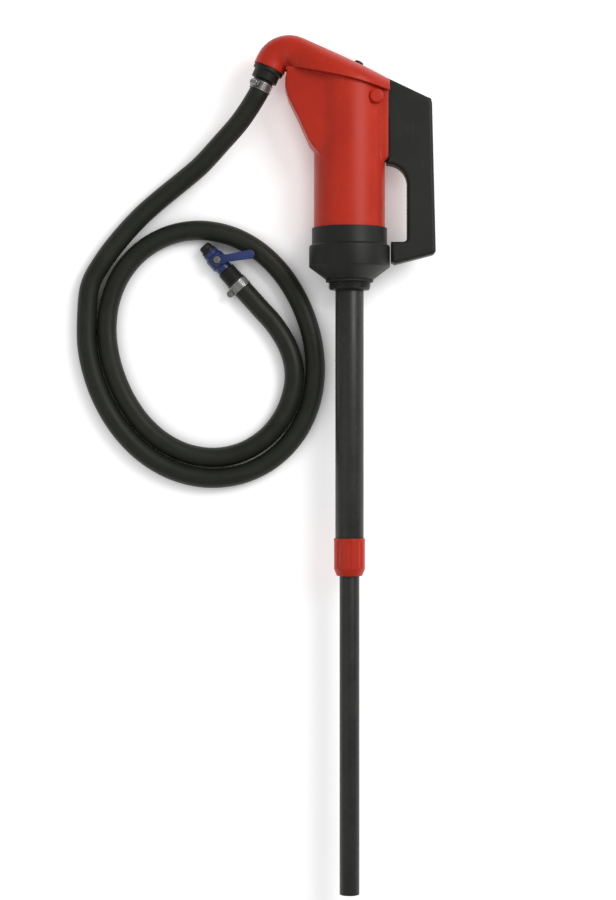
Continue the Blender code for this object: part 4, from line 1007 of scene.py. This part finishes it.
def coupler_nut():
    sleeve, tube_room = LOWER_TUBE_RADIUS + 2 * GAP, TUBE_RADIUS + GAP
    profile = [
        (tube_room, COUPLER_TOP), (COUPLER_RADIUS, COUPLER_TOP), (COUPLER_RADIUS, COUPLER_TOP - 0.006),
        (COUPLER_RADIUS, COUPLER_FOOT + 0.012), (COUPLER_RADIUS, COUPLER_FOOT + 0.010), (0.018, COUPLER_FOOT),
        (sleeve, COUPLER_FOOT), (sleeve, -0.418), (0.019, -0.418), (0.019, -0.3953), (tube_room, -0.3953),
    ]
    shape = spun(rounded(profile, 0.0010), Matrix.Identity(4), 160)
    for level in (COUPLER_TOP - 0.004, COUPLER_TOP - 0.0055, COUPLER_FOOT + 0.0135):
        cut(shape, (0, 0, level), (0, 0, 1))
    for vertex in shape.verts:
        away = math.hypot(vertex.co.x, vertex.co.y)
        if away > COUPLER_RADIUS - 0.0002 and COUPLER_FOOT + 0.0125 < vertex.co.z < COUPLER_TOP - 0.005:
            turn = math.atan2(vertex.co.y, vertex.co.x)
            hollow = max(0.0, math.cos(FLUTES * turn) - 0.35) / 0.65
            share = 1 - 0.0009 * hollow * hollow * (3 - 2 * hollow) / away
            vertex.co.x *= share
            vertex.co.y *= share
    bmesh.ops.transform(shape, matrix=PUMP_AXIS, verts=shape.verts)
    return piece("coupler_sleeve", shape, "coupler", ["coupler_nut"], "red_plastic", 30.0)


tube("upper_tube", "upper_suction_tube", "pump", TUBE_RADIUS, 0.0022, -0.395, -0.008)
tube("lower_tube", "lower_suction_tube", "lower_tube", LOWER_TUBE_RADIUS, 0.0018, -0.883, -0.350)
coupler_nut()


# The lever
LEVER_HALF_WIDTH = 0.016
LEVER_REACH = BODY_RADIUS + 0.071
LEVER_HUB_RADIUS = 0.021
GRIP_INNER = BODY_RADIUS + 0.031
LEVER_SWING = math.radians(60.0)
PRONG_INNER = 0.009
PRONG_OUTER = 0.015
PRONG_HALF_WIDTH = 0.0092
PIN_SLOT_HALF_WIDTH = 0.0052


def lever_outline():
    grip_corner = 0.117
    bar_top, bar_end = 0.036, COLLAR_RADIUS + 0.0015
    inner = CHEEK_REACH - 0.002
    shoulder = 0.028
    tip = LEVER_REACH - 0.005
    line = [(bar_end, bar_top)]
    line += arc((GRIP_INNER - 0.006, bar_top + 0.006), 0.006, -90, 0, 8)
    line += arc((GRIP_INNER - shoulder, grip_corner), shoulder, 0, 88, 16)
    line += [(inner, CHEEK_LOW), (inner, 0.2075), (0.045, 0.212)]
    line += arc((PIVOT.x, PIVOT.y), LEVER_HUB_RADIUS, -110, -260, 24)
    line += [(0.050, ridge_at(0.050) - 0.0005)]
    corner = (tip - 0.008, ridge_at(tip - 0.008) - 0.0005)
    line += [corner, (tip - 0.0015, ridge_at(tip) + 0.0005), (tip, ridge_at(tip) - 0.006)]
    line += [(LEVER_REACH, 0.026)] + arc((LEVER_REACH - 0.006, 0.024), 0.006, 0, -70, 8)
    return line + [(COLLAR_RADIUS + 0.007, 0.0045), (bar_end, 0.0075)]


def lever_handle():
    shape = plate(lever_outline()[::-1], -LEVER_HALF_WIDTH, LEVER_HALF_WIDTH, 0.0048, 6)
    made = piece("pump_lever", shape, "lever", ["lever_handle"], "black_plastic", 40.0)
    flatten = made.modifiers.new("flat_faces", "WEIGHTED_NORMAL")
    flatten.keep_sharp = True
    return made


def lever_fork():
    """The two prongs that carry the piston rod's cross pin in their slots."""
    swing = math.pi - LEVER_SWING / 2
    along = Vector((math.cos(swing), math.sin(swing), 0))
    far = PIVOT.x / math.cos(LEVER_SWING / 2) + 0.001
    near = PIVOT.x - 0.001
    facing = math.degrees(swing)
    shape = bmesh.new()
    for low, high in ((PRONG_INNER, PRONG_OUTER), (-PRONG_OUTER, -PRONG_INNER)):
        outer = arc(PIVOT + along * far, PRONG_HALF_WIDTH, facing - 90, facing + 90, 16)
        outer += arc(PIVOT + along * near * 0.5, PRONG_HALF_WIDTH, facing + 90, facing + 270, 16)
        slot = arc(PIVOT + along * far, PIN_SLOT_HALF_WIDTH, facing - 90, facing + 90, 16)
        slot += arc(PIVOT + along * near, PIN_SLOT_HALF_WIDTH, facing + 90, facing + 270, 16)
        prong = bmesh.new()
        rings = []
        for line in (outer, slot):
            verts = [prong.verts.new((x, y, low)) for x, y in line]
            rings += [prong.edges.new(pair) for pair in zip(verts, [*verts[1:], verts[0]])]
        faces = bmesh.ops.bridge_loops(prong, edges=rings)["faces"]
        grown = bmesh.ops.extrude_face_region(prong, geom=faces)
        top = [v for v in grown["geom"] if isinstance(v, bmesh.types.BMVert)]
        bmesh.ops.translate(prong, verts=top, vec=(0, 0, high - low))
        bmesh.ops.recalc_face_normals(prong, faces=prong.faces)
        joined(shape, prong)
    return piece("lever_fork", shape, "lever", [], "black_plastic")


def pivot_pin():
    place = frame_at(PIVOT, (0, 0, 1))
    reach = BOSS_REACH + GAP
    clip = reach + 0.0012
    profile = [
        (0, clip + 0.0028), (0.0045, clip + 0.0028), (0.005, clip + 0.0023), (0.005, clip + GAP),
        (0.004, clip + GAP), (0.004, reach - GAP), (0.005, reach - GAP), (0.005, -reach), (0.007, -reach),
        (0.007, -reach - 0.003), (0, -reach - 0.003),
    ]
    piece("lever_pin", spun(rounded(profile, 0.0005), place, 48), "pump", ["pivot_pin"], "zinc_steel")
    ring = [(0.0043, clip), (0.007, clip), (0.007, reach), (0.0043, reach)]
    piece("pin_clip", spun(rounded(ring, 0.0003), place, 48), "pump", ["pivot_clip"], "zinc_steel")


lever_handle()
lever_fork()
pivot_pin()


# The inner pieces keep their first shape, and get the finish that their material is named for
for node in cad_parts.values():
    finish = FINISHES[node.data.materials[0].name]
    for slot_at in node.material_slots:
        slot_at.link = "OBJECT"
        slot_at.material = finish


# The studio
floor_mesh = bpy.data.meshes.new("studio_floor")
floor_shape = bmesh.new()
bmesh.ops.create_grid(floor_shape, x_segments=1, y_segments=1, size=12.0)
floor_shape.to_mesh(floor_mesh)
floor_shape.free()
floor = bpy.data.objects.new("studio_floor", floor_mesh)
bpy.context.scene.collection.objects.link(floor)
paper = bpy.data.materials.new("white_paper")
paper.use_nodes = True
sheet = paper.node_tree.nodes["Principled BSDF"]
sheet.inputs["Base Color"].default_value = (0.86, 0.86, 0.86, 1.0)
sheet.inputs["Roughness"].default_value = 0.9
# Painted light: the floor glows white by emission, and ambient occlusion dims the glow near the pieces as a
# painted contact shadow.
sheet.inputs["Emission Color"].default_value = (1.0, 1.0, 1.0, 1.0)
shade = paper.node_tree.nodes.new("ShaderNodeAmbientOcclusion")
shade.inputs["Distance"].default_value = 0.05
painted_glow_and_shadow = remap(paper.node_tree, shade.outputs["AO"], 0.25, 0.85, 0.0, 0.55)
paper.node_tree.links.new(painted_glow_and_shadow, sheet.inputs["Emission Strength"])
floor_mesh.materials.append(paper)


LIGHT_TARGET = Vector((0.0, 0.1, 0.0))


def area_light(name, power, size, place):
    data = bpy.data.lights.new(name, "AREA")
    data.energy = power
    data.size = size
    light = bpy.data.objects.new(name, data)
    light.location = place
    light.rotation_euler = (LIGHT_TARGET - Vector(place)).to_track_quat("-Z", "Y").to_euler()
    bpy.context.scene.collection.objects.link(light)


area_light("key_light", 40.0, 1.2, (1.5, 1.2, 2.2))
area_light("fill_light", 8.0, 2.0, (-1.8, -0.4, 2.0))
world = bpy.data.worlds.new("studio")
world.use_nodes = True
sky = world.node_tree.nodes["Background"]
sky.inputs["Color"].default_value = (1.0, 1.0, 1.0, 1.0)
seen = world.node_tree.nodes.new("ShaderNodeLightPath").outputs["Is Camera Ray"]
world.node_tree.links.new(remap(world.node_tree, seen, 0.0, 1.0, 0.30, 1.0), sky.inputs["Strength"])
bpy.context.scene.world = world
bpy.context.scene.view_settings.view_transform = "Standard"
